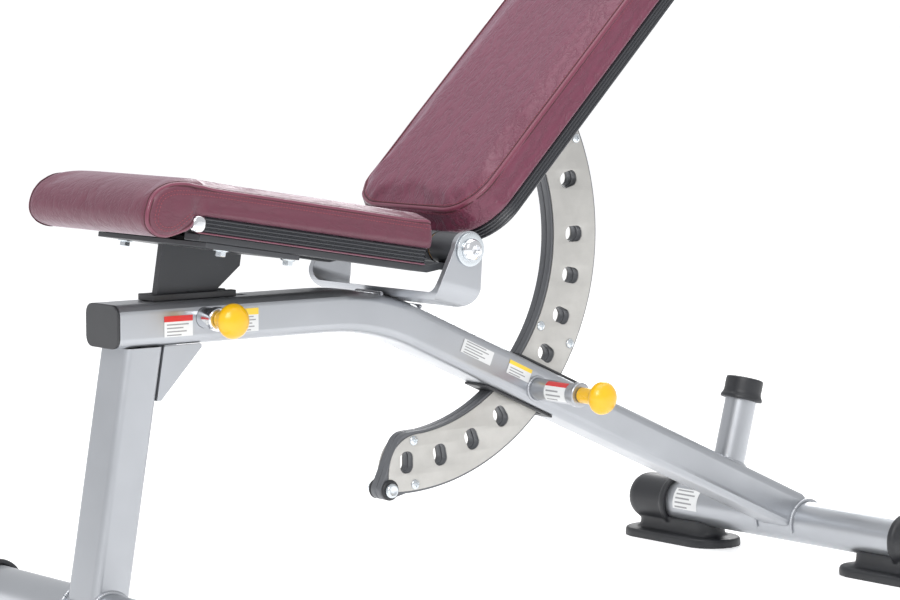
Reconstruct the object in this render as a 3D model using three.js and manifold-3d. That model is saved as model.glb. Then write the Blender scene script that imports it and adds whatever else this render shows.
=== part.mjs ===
// Adjustable weight bench: a bent beam on two crosswise feet, a back and a seat that tilt on one
// hinge bolt, a slotted arc plate that sets the back's angle, and a sprung pull pin for each.
// Millimetres, +X to the head end, +Z up. Everything is laid out from the hinge axis, then the
// bench is set on the floor with its origin under the middle of its outline.
import * as THREE from "three";
import { mergeVertices } from "three/addons/utils/BufferGeometryUtils.js";
import Module from "manifold-3d";

const wasm = await Module();
wasm.setup();

// ---- Driving dimensions -------------------------------------------------------------------
const GAP = 0.3; // between pieces that touch, are welded or run on each other
const HINGE_HEIGHT = 458; // floor to hinge axis

const BACK_ANGLE = 45; // degrees above level, as shown
const SEAT_ANGLE = 9.2; // degrees above level, the seat's top position
const SEAT_STEP = 4; // degrees between the seat plate's two holes

// Main beam: rounded rectangular tube, level in front, then sloping down to the head end
const BEAM_HEIGHT = 50;
const BEAM_WIDTH = 66;
const BEAM_CORNER = 12;
const BEAM_WALL = 3;
const BEAM_DROP = 49; // hinge axis to the top of the level part
const BEAM_SLOPE = 24; // degrees
const BEAM_BEND_START = -126;
const BEAM_BEND_RADIUS = 328; // on the centre line
const BEAM_BEND_STEPS = 8;
const BEAM_FRONT_X = -425;
const END_CAP_LIP = 4;

// Feet and front leg
const FOOT_RADIUS = 28.5;
const FOOT_HALF_LENGTH = 286;
const FOOT_CLEARANCE = 25.5; // floor to the underside of the foot tubes
const REAR_FOOT_X = 661;
const FRONT_FOOT_X = -440;
const BOOT_WALL = 4.5;
const BOOT_SLEEVE = 73;
const BOOT_PAD_MIDDLE = 210; // from the bench's centre plane
const BOOT_PAD_LENGTH = 196;
const BOOT_PAD_WIDTH = 84;
const BOOT_PAD_HEIGHT = 12;
const BOOT_NECK_LENGTH = 150;
const BOOT_NECK_WIDTH = 44;
const LEG_DEPTH = 50;
const LEG_WIDTH = 60;
const LEG_CORNER = 9;
const LEG_WALL = 3;
const LEG_TOP_X = -388;
const GUSSET_THICKNESS = 6;
const GUSSET_HALF_WIDTH = 28;
const GUSSET_REAR_X = -311;
const GUSSET_DROP = 62;

// Hinge bracket, bolt, tubes and bushes
const BRACKET_TILT = 16; // degrees, down to the head end
const BRACKET_HALF_WIDTH = 132;
const BRACKET_THICKNESS = 8;
const BRACKET_BEND = 26; // outer bend radius
const BRACKET_HALF_BASE = 30;
const BRACKET_EYE = 22;
const BOLT_RADIUS = 9.5;
const WASHER_RADIUS = 20;
const WASHER_THICKNESS = 3;
const HINGE_TUBE_RADIUS = 19;
const HINGE_TUBE_BORE = 13;
const BUSH_FLANGE = 2.5;
const BUSH_FLANGE_RADIUS = 17.5;
const BUSH_LENGTH = 26;
const BACK_TUBE_HALF = 75;
const SEAT_TUBE_INNER = 79;

// Pads: foam over a board, with a ribbed trim round the board's edge
const PAD_HALF_WIDTH = 125;
const BOARD_THICKNESS = 19;
const BOARD_INSET = 10; // board edge in from the pad's side
const TRIM_THICKNESS = 6;
const TRIM_HEIGHT = 17;
const PAD_HEIGHT = 44.7;
const PAD_EDGE = 9; // edge rounding
const BACK_BOARD_DEPTH = 33; // hinge axis to the back board's underside
const BACK_START = 30;
const BACK_END = 870;
const BACK_CORNER = 60;
const SEAT_BOARD_DEPTH = 25;
const SEAT_START = 46;
const SEAT_END = 455;
const SEAT_BOARD_END = 378;
const SEAT_CORNER = 12;
const SEAT_NOSE_DROP = 40; // nose bottom below the hinge axis

// Back frame
const PLATE_THICKNESS = 6;
const BACK_PLATE_HALF_WIDTH = 100;
const BACK_PLATE_LENGTH = 50;
const LOWER_PLATE_START = 64;
const UPPER_PLATE_START = 505;
const SPINE_WIDTH = 50;
const SPINE_DEPTH = 20;
const SPINE_WALL = 3;
const SPINE_START = 60;
const SPINE_END = 572;
const EAR_THICKNESS = 8;
const EAR_EYE = 28;
const LANDING_LENGTH = 54;
const LANDING_HALF_WIDTH = 30;
const LANDING_DEPTH = 14;
const LANDING_WALL = 4;

// Arc plate
const SLOT_CIRCLE = 266.7; // 10.5 in
const SLOT_WIDTH = 20;
const SLOT_LENGTH = 27;
const SLOT_FIRST = 15; // degrees from level, in the pose shown
const SLOT_STEP = 11.25;
const SLOT_COUNT_BELOW_LEVEL = 8;
const ARC_INNER = 231;
const ARC_OUTER = 305;
const ARC_CORE = 20;
const ARC_COVER = 1.5;
const ARC_COVER_INSET = 3;
const ARC_COVER_END = -95.6; // degrees
const ARC_COVER_INNER_CORNER = 46;
const ARC_COVER_OUTER_CORNER = 6;
const ARC_END = -92; // degrees
const LUG_RADIUS = 12.3;
const BUMPER_RADIUS = 12.5;
const BUMPER_HALF_LENGTH = 15;
const BUMPER_WAIST = 8;
const BUMPER_BOLT = 5;
const BUMPER_CIRCLE = 299.7;
const BUMPER_ANGLE = -95.1;
const BUMPER_CLEARANCE = 1.5;
const BACK_LOWEST = -60;
const ARC_SCREW_INSET = 10;
const ARC_SCREW_ANGLES = [-28, -87.5];

// Pull pins
const BACK_PIN_ANGLE = -45;
const BACK_PIN_RADIUS = 9;
const SEAT_PIN_X = -310;
const SEAT_PIN_Z = -69;
const SEAT_PIN_RADIUS = 6;
const BACK_BARREL_RADIUS = 13.5; // welded to the beam's side
const BACK_BARREL_OUTER_Y = -117.3;
const SEAT_BARREL_RADIUS = 12; // let into the beam's side
const SEAT_BARREL_INNER_Y = -17;
const SEAT_BARREL_OUTER_Y = -63;
const PIN_TIP_CLEAR = 1;
const PIN_TRAVEL = 20;
const KNOB_RADIUS = 20.5;

// Rest post
const POST_TOP_X = 578;
const POST_TOP_Z = -206;
const POST_LEAN = 15; // degrees
const POST_RADIUS = 21;
const POST_WALL = 3;
const POST_CAP_HEIGHT = 30;
const POST_CAP_WALL = 4;

// Seat frame
const SEAT_RAIL_WIDTH = 30;
const SEAT_RAIL_THICKNESS = 8;
const SEAT_RAIL_Y = 96;
const SEAT_RAIL_END = 370;
const SEAT_CROSS_START = 229;
const SEAT_CROSS_END = 360;
const SEAT_PLATE_THICKNESS = 10;
const SEAT_PLATE_REAR = 235.5;
const SEAT_PLATE_FRONT = 346;
const SEAT_PLATE_STEP_DEPTH = 53;
const SEAT_PLATE_WAIST = 274;
const SEAT_PLATE_WAIST_DEPTH = 95;
const ARC_GUIDE_THICKNESS = 3;
const SCREW_HEAD_CLEARANCE = 3.4; // from the arc's covers to the slots that its screw heads pass through
const GUIDE_REAR_X = -254;
const GUIDE_FRONT_X = -369;
const GUIDE_HALF_WIDTH = 16;
const GUIDE_HEIGHT = 7.5;

// ---- Helpers --------------------------------------------------------------------------------
const rad = THREE.MathUtils.degToRad;
const polar = (radius, degrees) => [radius * Math.cos(rad(degrees)), radius * Math.sin(rad(degrees))];

/** Closed three.js geometry to a solid for joining and cutting, whichever way its faces run. */
function solid(geometry) {
  const bare = geometry.clone();
  bare.deleteAttribute("normal");
  bare.deleteAttribute("uv");
  const merged = mergeVertices(bare, 1e-4);
  const position = merged.attributes.position;
  const index = [];
  for (let i = 0; i < merged.index.count; i += 3) {
    const face = [merged.index.getX(i), merged.index.getX(i + 1), merged.index.getX(i + 2)];
    if (new Set(face).size === 3) index.push(face);
  }
  const corner = [new THREE.Vector3(), new THREE.Vector3(), new THREE.Vector3()];
  let volume = 0;
  for (const face of index) {
    face.forEach((vertex, k) => corner[k].fromBufferAttribute(position, vertex));
    volume += corner[0].dot(corner[1].cross(corner[2]));
  }
  const outward = index.map((face) => (volume < 0 ? [face[0], face[2], face[1]] : face));
  return new wasm.Manifold(
    new wasm.Mesh({
      numProp: 3,
      vertProperties: Float32Array.from(position.array),
      triVerts: Uint32Array.from(outward.flat()),
    }),
  );
}

/** Solid back to a three.js geometry. */
function geometryOf(body) {
  const mesh = body.getMesh();
  const geometry = new THREE.BufferGeometry();
  geometry.setAttribute("position", new THREE.BufferAttribute(Float32Array.from(mesh.vertProperties), 3));
  geometry.setIndex(new THREE.BufferAttribute(Uint32Array.from(mesh.triVerts), 1));
  geometry.computeVertexNormals();
  return geometry;
}

/** Outline through (x, z) points. */
function outline(points) {
  return new THREE.Shape(points.map(([x, y]) => new THREE.Vector2(x, y)));
}

/** Ring or disc outline. */
function ringShape(outer, inner = 0, x = 0, y = 0) {
  const shape = new THREE.Shape();
  shape.absarc(x, y, outer, 0, 2 * Math.PI);
  if (inner > 0) {
    const hole = new THREE.Path();
    hole.absarc(x, y, inner, 0, 2 * Math.PI, true);
    shape.holes.push(hole);
  }
  return shape;
}

/** Rounded rectangle from (x0, y0) to (x1, y1). */
function roundedRect(x0, x1, y0, y1, r) {
  const shape = new THREE.Shape();
  shape.moveTo(x0 + r, y0);
  shape.lineTo(x1 - r, y0);
  shape.absarc(x1 - r, y0 + r, r, -Math.PI / 2, 0);
  shape.lineTo(x1, y1 - r);
  shape.absarc(x1 - r, y1 - r, r, 0, Math.PI / 2);
  shape.lineTo(x0 + r, y1);
  shape.absarc(x0 + r, y1 - r, r, Math.PI / 2, Math.PI);
  shape.lineTo(x0, y0 + r);
  shape.absarc(x0 + r, y0 + r, r, Math.PI, 1.5 * Math.PI);
  return shape;
}

/** An (x, z) outline carried across the bench from y0 to y1; an arc in it gets 2 x segments. */
function acrossY(shape, y0, y1, segments = 6, bevel = null) {
  const options = { depth: y1 - y0, bevelEnabled: false, curveSegments: segments, ...bevel };
  return solid(new THREE.ExtrudeGeometry(shape, options).rotateX(Math.PI / 2).translate(0, y1, 0));
}

/** An (x, y) outline raised from z0 to z1; an arc in it gets 2 x segments. */
function raised(shape, z0, z1, segments = 3, bevel = null) {
  const options = { depth: z1 - z0, bevelEnabled: false, curveSegments: segments, ...bevel };
  return solid(new THREE.ExtrudeGeometry(shape, options).translate(0, 0, z0));
}

/** Block between two corners. */
function block(x0, x1, y0, y1, z0, z1) {
  const box = new THREE.BoxGeometry(x1 - x0, y1 - y0, z1 - z0);
  return solid(box.translate((x0 + x1) / 2, (y0 + y1) / 2, (z0 + z1) / 2));
}

/** Round bar or tube across the bench, centred on (x, z). */
function barY(outer, inner, y0, y1, x = 0, z = 0, sides = 28) {
  return acrossY(ringShape(outer, inner, x, z), y0, y1, sides / 2);
}

/** Turned piece round a line across the bench through (x, z); the profile is [radius, y] points. */
function turnedY(profile, x = 0, z = 0, sides = 24) {
  const points = profile.map(([r, y]) => new THREE.Vector2(r, y));
  return solid(new THREE.LatheGeometry(points, sides).translate(x, 0, z));
}

/** Tube or bar along a path in the XZ plane: depth is its size in that plane, width its size across. */
function sweep(depth, width, corner, wall, path, steps) {
  // three.js turns the section a quarter when the path starts out steep.
  const start = path.getTangentAt(0);
  const [a, b] = Math.abs(start.z) > Math.abs(start.x) ? [width / 2, depth / 2] : [depth / 2, width / 2];
  const shape = roundedRect(-a, a, -b, b, corner);
  if (wall > 0) {
    const hollow = roundedRect(-a + wall, a - wall, -b + wall, b - wall, corner - wall);
    shape.holes.push(new THREE.Path(hollow.getPoints(2).reverse()));
  }
  const options = { extrudePath: path, steps, bevelEnabled: false, curveSegments: 2 };
  return solid(new THREE.ExtrudeGeometry(shape, options));
}

const bench = new THREE.Group();
const backGroup = new THREE.Group();
const seatGroup = new THREE.Group();
backGroup.rotation.y = -rad(BACK_ANGLE);
seatGroup.rotation.y = rad(SEAT_ANGLE);
bench.add(backGroup, seatGroup);

const FINISH = {
  silver: { color: 0xc3c5c9, roughness: 0.35, metalness: 0.5 },
  charcoal: { color: 0x3b3e40, roughness: 0.55, metalness: 0.2 },
  stainless: { color: 0xcfccc5, roughness: 0.3, metalness: 0.9 },
  chrome: { color: 0xd9dde0, roughness: 0.12, metalness: 1 },
  bronze: { color: 0xa8743c, roughness: 0.4, metalness: 0.8 },
  rubber: { color: 0x1b1c1e, roughness: 0.8, metalness: 0 },
  plastic: { color: 0x222426, roughness: 0.5, metalness: 0 },
  knob: { color: 0xf7b515, roughness: 0.35, metalness: 0 },
  vinyl: { color: 0x7e2a3c, roughness: 0.45, metalness: 0 },
  trim: { color: 0x2b2e30, roughness: 0.45, metalness: 0 },
  board: { color: 0x6d5a45, roughness: 0.8, metalness: 0 },
  spring: { color: 0x8d9196, roughness: 0.3, metalness: 0.9 },
};

/** Adds a finished solid to a group as its own named mesh. */
function add(group, name, finish, body) {
  const mesh = new THREE.Mesh(geometryOf(body), new THREE.MeshStandardMaterial(FINISH[finish]));
  mesh.name = name;
  group.add(mesh);
}

// ---- Beam ------------------------------------------------------------------------------------
const halfBeam = BEAM_HEIGHT / 2;
const slope = rad(BEAM_SLOPE);
const beamMidZ = -BEAM_DROP - halfBeam;
const footZ = FOOT_CLEARANCE + FOOT_RADIUS - HINGE_HEIGHT;
const bendCentre = [BEAM_BEND_START, beamMidZ - BEAM_BEND_RADIUS];
const bendEnd = [
  bendCentre[0] + BEAM_BEND_RADIUS * Math.sin(slope),
  bendCentre[1] + BEAM_BEND_RADIUS * Math.cos(slope),
];

/** Height of the sloping part's centre line at x. */
const slopeMidZ = (x) => bendEnd[1] - (x - bendEnd[0]) * Math.tan(slope);

/** A line that is sampled only where it turns: each step of a sweep along it ends on a station. */
class StationLine extends THREE.Curve {
  constructor(points, tangents) {
    super();
    this.points = points;
    this.tangents = tangents;
  }
  getPointAt(u, target = new THREE.Vector3()) {
    return target.copy(this.points[Math.round(u * (this.points.length - 1))]);
  }
  getTangentAt(u, target = new THREE.Vector3()) {
    return target.copy(this.tangents[Math.round(u * (this.tangents.length - 1))]);
  }
}

/** The beam's centre line from x0 to x1: level, one bend, then the slope. */
function beamPath(x0, x1) {
  const direction = (angle) => new THREE.Vector3(Math.cos(angle), 0, -Math.sin(angle));
  const points = [new THREE.Vector3(x0, 0, beamMidZ)];
  const tangents = [direction(0)];
  for (let i = 0; i <= BEAM_BEND_STEPS; i += 1) {
    const angle = (slope * i) / BEAM_BEND_STEPS;
    points.push(
      new THREE.Vector3(
        bendCentre[0] + BEAM_BEND_RADIUS * Math.sin(angle),
        0,
        bendCentre[1] + BEAM_BEND_RADIUS * Math.cos(angle),
      ),
    );
    tangents.push(direction(angle));
  }
  points.push(new THREE.Vector3(x1, 0, slopeMidZ(x1)));
  tangents.push(direction(slope));
  return new StationLine(points, tangents);
}

/** The space swept by the arc plate through the beam, a little wider than the plate. */
function arcSweep(clear, x0, x1, z0, z1) {
  const halfWidth = ARC_CORE / 2 + GAP + ARC_COVER + clear;
  const ring = barY(ARC_OUTER + 3, ARC_INNER - 3, -halfWidth, halfWidth, 0, 0, 96);
  return ring.intersect(block(x0, x1, -halfWidth - 1, halfWidth + 1, z0, z1));
}

const [backPinX, backPinZ] = polar(SLOT_CIRCLE, BACK_PIN_ANGLE);
const plateHalf = SEAT_PLATE_THICKNESS / 2;

{
  let beam = sweep(BEAM_HEIGHT, BEAM_WIDTH, BEAM_CORNER, BEAM_WALL, beamPath(BEAM_FRONT_X, REAR_FOOT_X), BEAM_BEND_STEPS + 2);
  beam = beam.subtract(arcSweep(SCREW_HEAD_CLEARANCE, 120, 300, -320, -80));
  beam = beam.subtract(
    block(-SEAT_PLATE_FRONT - 26, -SEAT_PLATE_REAR + 5, -plateHalf - 1.5, plateHalf + 1.5, -130, -40),
  );
  beam = beam.subtract(barY(BACK_PIN_RADIUS + GAP, 0, -60, 0, backPinX, backPinZ));
  beam = beam.subtract(barY(SEAT_BARREL_RADIUS + GAP, 0, -60, 0, SEAT_PIN_X, SEAT_PIN_Z));
  beam = beam.subtract(barY(FOOT_RADIUS + GAP, 0, -60, 60, REAR_FOOT_X, footZ));
  beam = beam.subtract(block(REAR_FOOT_X, REAR_FOOT_X + 90, -60, 60, footZ - 90, footZ + 90));
  add(bench, "main_beam", "silver", beam);

  const capHalfWidth = BEAM_WIDTH / 2 - BEAM_WALL - GAP;
  const capHalfHeight = halfBeam - BEAM_WALL - GAP;
  const plugShape = roundedRect(-capHalfHeight, capHalfHeight, -capHalfWidth, capHalfWidth, 8);
  const lipShape = roundedRect(-halfBeam, halfBeam, -BEAM_WIDTH / 2, BEAM_WIDTH / 2, BEAM_CORNER);
  const toFront = new THREE.Matrix4().makeRotationY(-Math.PI / 2).setPosition(BEAM_FRONT_X, 0, beamMidZ);
  const along = (shape, from, to) => {
    const options = { depth: to - from, bevelEnabled: false, curveSegments: 2 };
    return solid(new THREE.ExtrudeGeometry(shape, options).translate(0, 0, from).applyMatrix4(toFront));
  };
  add(bench, "beam_end_cap", "plastic", along(plugShape, -18, GAP).add(along(lipShape, GAP, END_CAP_LIP)));
}

// ---- Feet, front leg and gussets ---------------------------------------------------------------
for (const [end, x] of [["front", FRONT_FOOT_X], ["rear", REAR_FOOT_X]]) {
  add(
    bench,
    `${end}_foot_tube`,
    "silver",
    barY(FOOT_RADIUS, FOOT_RADIUS - BEAM_WALL, -FOOT_HALF_LENGTH, FOOT_HALF_LENGTH, x, footZ),
  );
  for (const [side, sign] of [["near", -1], ["far", 1]]) {
    const outer = FOOT_RADIUS + BOOT_WALL;
    const tip = FOOT_HALF_LENGTH + 12;
    const inner = FOOT_HALF_LENGTH - BOOT_SLEEVE;
    const profile = [
      [0, tip],
      [outer * 0.55, tip - 1.5],
      [outer * 0.86, tip - 6],
      [outer, tip - 15],
      [outer, inner + 8],
      [outer + 2.5, inner + 7],
      [outer + 2.5, inner],
      [0, inner],
    ];
    let boot = turnedY(profile.map(([r, y]) => [r, sign * y]), x, footZ, 20);
    const floor = -HINGE_HEIGHT;
    const padMiddle = sign * BOOT_PAD_MIDDLE;
    const oval = (length, width) =>
      roundedRect(x - width / 2, x + width / 2, padMiddle - length / 2, padMiddle + length / 2, width / 2 - 2);
    boot = boot.add(raised(oval(BOOT_PAD_LENGTH, BOOT_PAD_WIDTH), floor, floor + BOOT_PAD_HEIGHT));
    boot = boot.add(
      raised(oval(BOOT_NECK_LENGTH, BOOT_NECK_WIDTH), floor + BOOT_PAD_HEIGHT - 1, footZ - FOOT_RADIUS + 6),
    );
    const bore = [sign * (BOOT_PAD_MIDDLE - BOOT_PAD_LENGTH), sign * (FOOT_HALF_LENGTH + GAP)].sort((a, b) => a - b);
    boot = boot.subtract(barY(FOOT_RADIUS + GAP, 0, bore[0], bore[1], x, footZ));
    add(bench, `${end}_boot_${side}`, "rubber", boot);
  }
}

{
  const top = -BEAM_DROP - BEAM_HEIGHT - GAP;
  const path = new THREE.LineCurve3(
    new THREE.Vector3(LEG_TOP_X + 5, 0, top + 30),
    new THREE.Vector3(FRONT_FOOT_X, 0, footZ),
  );
  let leg = sweep(LEG_DEPTH, LEG_WIDTH, LEG_CORNER, LEG_WALL, path, 1);
  leg = leg.subtract(block(LEG_TOP_X - 90, LEG_TOP_X + 90, -60, 60, top, top + 120));
  leg = leg.subtract(barY(FOOT_RADIUS + GAP, 0, -60, 60, FRONT_FOOT_X, footZ));
  leg = leg.subtract(block(FRONT_FOOT_X - 90, FRONT_FOOT_X + 90, -60, 60, footZ - 90, footZ - 4));
  add(bench, "front_leg", "silver", leg);

  // The leg's rear face, followed down from the beam, sets the gussets' front edge.
  const lean = (LEG_TOP_X + 5 - FRONT_FOOT_X) / (top + 30 - footZ);
  const rearFaceX = (z) => FRONT_FOOT_X + (z - footZ) * lean + LEG_DEPTH / 2 / Math.cos(Math.atan(lean));
  const low = top - GUSSET_DROP;
  const gusset = outline([
    [rearFaceX(top) + GAP, top],
    [rearFaceX(low) + GAP, low],
    [rearFaceX(low) + 6, low],
    [GUSSET_REAR_X, top - 4],
    [GUSSET_REAR_X, top],
  ]);
  // A folded gusset: two cheeks either side of the seat plate's path, joined by a web on the leg.
  const web = outline([
    [rearFaceX(top) + GAP, top],
    [rearFaceX(low) + GAP, low],
    [rearFaceX(low) + GAP + GUSSET_THICKNESS, low],
    [rearFaceX(top) + GAP + GUSSET_THICKNESS, top],
  ]);
  const cheek = GUSSET_HALF_WIDTH - GUSSET_THICKNESS;
  let folded = acrossY(gusset, -GUSSET_HALF_WIDTH, -cheek).add(acrossY(gusset, cheek, GUSSET_HALF_WIDTH));
  folded = folded.add(acrossY(web, -cheek - 1, cheek + 1));
  add(bench, "front_gusset", "silver", folded);
}

// ---- Hinge bracket, bolt, washers and nut --------------------------------------------------------
{
  const tilt = rad(BRACKET_TILT);
  // How far the beam's bend stands up towards the hinge, square to the bracket's base.
  const crown =
    bendCentre[0] * Math.sin(tilt) + bendCentre[1] * Math.cos(tilt) + BEAM_BEND_RADIUS + halfBeam;
  const base = crown + GAP + 0.4;
  const top = BRACKET_EYE + 2;
  const outerWide = BRACKET_HALF_WIDTH;
  const innerWide = outerWide - BRACKET_THICKNESS;
  const strap = new THREE.Shape();
  strap.moveTo(-outerWide, top);
  strap.lineTo(-outerWide, base + BRACKET_BEND);
  strap.absarc(-outerWide + BRACKET_BEND, base + BRACKET_BEND, BRACKET_BEND, Math.PI, 1.5 * Math.PI);
  strap.lineTo(outerWide - BRACKET_BEND, base);
  strap.absarc(outerWide - BRACKET_BEND, base + BRACKET_BEND, BRACKET_BEND, -Math.PI / 2, 0);
  strap.lineTo(outerWide, top);
  strap.lineTo(innerWide, top);
  const innerBend = BRACKET_BEND - BRACKET_THICKNESS;
  strap.lineTo(innerWide, base + BRACKET_BEND);
  strap.absarc(innerWide - innerBend, base + BRACKET_BEND, innerBend, 0, -Math.PI / 2, true);
  strap.lineTo(-innerWide + innerBend, base + BRACKET_THICKNESS);
  strap.absarc(-innerWide + innerBend, base + BRACKET_BEND, innerBend, -Math.PI / 2, -Math.PI, true);
  strap.lineTo(-innerWide, top);
  const length = 2 * BRACKET_HALF_BASE + 30;
  const options = { depth: length, bevelEnabled: false, curveSegments: 4 };
  const bent = new THREE.ExtrudeGeometry(strap, options)
    .translate(0, 0, -length / 2)
    .rotateX(Math.PI / 2)
    .rotateZ(Math.PI / 2);
  // Side outline: a wide foot narrowing to the round eye, with rounded lower corners.
  const side = new THREE.Shape();
  const b = BRACKET_HALF_BASE;
  const spread = Math.asin((b - BRACKET_EYE) / (-base - 20));
  side.absarc(0, 0, BRACKET_EYE, -spread, Math.PI + spread);
  side.lineTo(-b, base + 22);
  side.quadraticCurveTo(-b, base - 1, -b + 18, base - 1);
  side.lineTo(b - 20, base - 1);
  side.quadraticCurveTo(b, base - 1, b, base + 26);
  let bracket = solid(bent).intersect(acrossY(side, -outerWide - 1, outerWide + 1, 8));
  bracket = bracket.subtract(barY(BOLT_RADIUS + GAP, 0, -outerWide - 5, outerWide + 5));
  const group = new THREE.Group();
  group.rotation.y = tilt;
  bench.add(group);
  add(group, "hinge_bracket", "silver", bracket);
}

{
  const face = BRACKET_HALF_WIDTH + GAP;
  const seatFace = face + WASHER_THICKNESS + GAP;
  for (const [side, sign] of [["near", -1], ["far", 1]]) {
    const ends = [sign * face, sign * (face + WASHER_THICKNESS)].sort((a, b) => a - b);
    add(bench, `hinge_washer_${side}`, "chrome", barY(WASHER_RADIUS, BOLT_RADIUS + GAP, ends[0], ends[1]));
  }
  const head = 13.5;
  let bolt = turnedY([
    [0, seatFace + 16],
    [BOLT_RADIUS - 1, seatFace + 16],
    [BOLT_RADIUS, seatFace + 15],
    [BOLT_RADIUS, -seatFace],
    [head, -seatFace],
    [head, -seatFace - 3],
    [head - 2.5, -seatFace - 7],
    [head - 6, -seatFace - 9],
    [0, -seatFace - 9.5],
  ]);
  bolt = bolt.subtract(barY(5.5, 0, -seatFace - 12, -seatFace - 4, 0, 0, 6));
  add(bench, "hinge_bolt", "chrome", bolt);
  add(bench, "hinge_nut", "chrome", barY(16, 0, seatFace, seatFace + 12, 0, 0, 6).subtract(
    barY(BOLT_RADIUS + GAP, 0, seatFace - 1, seatFace + 13),
  ));
}

/** Flanged bush whose flange starts at |y| = flangeAt, pointing outwards, with the sleeve inwards. */
function bush(sign, flangeAt) {
  const outer = HINGE_TUBE_BORE - GAP;
  const inner = BOLT_RADIUS + GAP;
  const profile = [
    [inner, flangeAt + BUSH_FLANGE],
    [BUSH_FLANGE_RADIUS, flangeAt + BUSH_FLANGE],
    [BUSH_FLANGE_RADIUS, flangeAt],
    [outer, flangeAt],
    [outer, flangeAt - BUSH_LENGTH],
    [inner, flangeAt - BUSH_LENGTH],
    [inner, flangeAt + BUSH_FLANGE],
  ];
  return turnedY(profile.map(([r, y]) => [r, sign * y]));
}

// ---- Pull pins ----------------------------------------------------------------------------------
/**
 * A pull pin on the beam's near side: welded barrel, pin with a shoulder, coil spring and knob.
 * The spring sits between the shoulder and the barrel's outer end, and shortens as the knob is pulled.
 */
function pullPin({ name, x, z, pinRadius, barrelRadius, wallY, outerY, tipY, neckLength, barrelFinish }) {
  const stemRadius = pinRadius * 0.62;
  const boreRadius = barrelRadius - 3;
  const endWall = 5;
  const shoulderY = outerY + endWall + PIN_TRAVEL + 16;
  const barrel = turnedY(
    [
      [boreRadius, wallY],
      [barrelRadius, wallY],
      [barrelRadius, outerY + 9],
      [barrelRadius + 2, outerY + 8],
      [barrelRadius + 2, outerY + 2],
      [barrelRadius, outerY],
      [stemRadius + GAP, outerY],
      [stemRadius + GAP, outerY + endWall],
      [boreRadius, outerY + endWall],
      [boreRadius, wallY],
    ],
    x,
    z,
  );
  add(bench, `${name}_barrel`, barrelFinish, barrel);
  const neckY = outerY - GAP - 0.4;
  add(
    bench,
    name,
    "chrome",
    turnedY(
      [
        [0, tipY],
        [pinRadius - 1.5, tipY],
        [pinRadius, tipY - 2],
        [pinRadius, shoulderY + 5],
        [boreRadius - GAP, shoulderY + 5],
        [boreRadius - GAP, shoulderY],
        [stemRadius, shoulderY],
        [stemRadius, neckY - neckLength],
        [0, neckY - neckLength],
      ],
      x,
      z,
    ),
  );
  const capY = neckY - neckLength;
  const knob = turnedY(
    [
      [0, capY - 16],
      [KNOB_RADIUS * 0.5, capY - 14.5],
      [KNOB_RADIUS * 0.85, capY - 9.5],
      [KNOB_RADIUS, capY - 2.5],
      [KNOB_RADIUS * 0.92, capY + 3],
      [KNOB_RADIUS * 0.66, capY + 7],
      [KNOB_RADIUS * 0.5, capY + 12],
      [KNOB_RADIUS * 0.48, neckY],
      [stemRadius + GAP, neckY],
      [stemRadius + GAP, capY - GAP],
      [0, capY - GAP],
    ],
    x,
    z,
  );
  add(bench, `${name}_knob`, "knob", knob);

  // Coil spring: round wire on a helix between the shoulder and the barrel's end wall.
  const wire = 0.8;
  const coilRadius = (stemRadius + boreRadius) / 2;
  const turns = 5;
  class Helix extends THREE.Curve {
    getPoint(t, target = new THREE.Vector3()) {
      const angle = 2 * Math.PI * turns * t;
      const y0 = outerY + endWall + GAP + wire;
      const y1 = shoulderY - GAP - wire;
      return target.set(x + coilRadius * Math.cos(angle), y0 + (y1 - y0) * t, z + coilRadius * Math.sin(angle));
    }
  }
  const options = { extrudePath: new Helix(), steps: turns * 7, bevelEnabled: false, curveSegments: 3 };
  add(bench, `${name}_spring`, "spring", solid(new THREE.ExtrudeGeometry(ringShape(wire), options)));
}

const coverFaceY = -(ARC_CORE / 2 + GAP + ARC_COVER);
pullPin({
  name: "back_pin",
  x: backPinX,
  z: backPinZ,
  pinRadius: BACK_PIN_RADIUS,
  barrelRadius: BACK_BARREL_RADIUS,
  wallY: -BEAM_WIDTH / 2 - GAP,
  outerY: BACK_BARREL_OUTER_Y,
  tipY: coverFaceY - PIN_TIP_CLEAR,
  neckLength: 36,
  barrelFinish: "silver",
});
pullPin({
  name: "seat_pin",
  x: SEAT_PIN_X,
  z: SEAT_PIN_Z,
  pinRadius: SEAT_PIN_RADIUS,
  barrelRadius: SEAT_BARREL_RADIUS,
  wallY: SEAT_BARREL_INNER_Y,
  outerY: SEAT_BARREL_OUTER_Y,
  tipY: -plateHalf - PIN_TIP_CLEAR,
  neckLength: 24,
  barrelFinish: "chrome",
});

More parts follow.
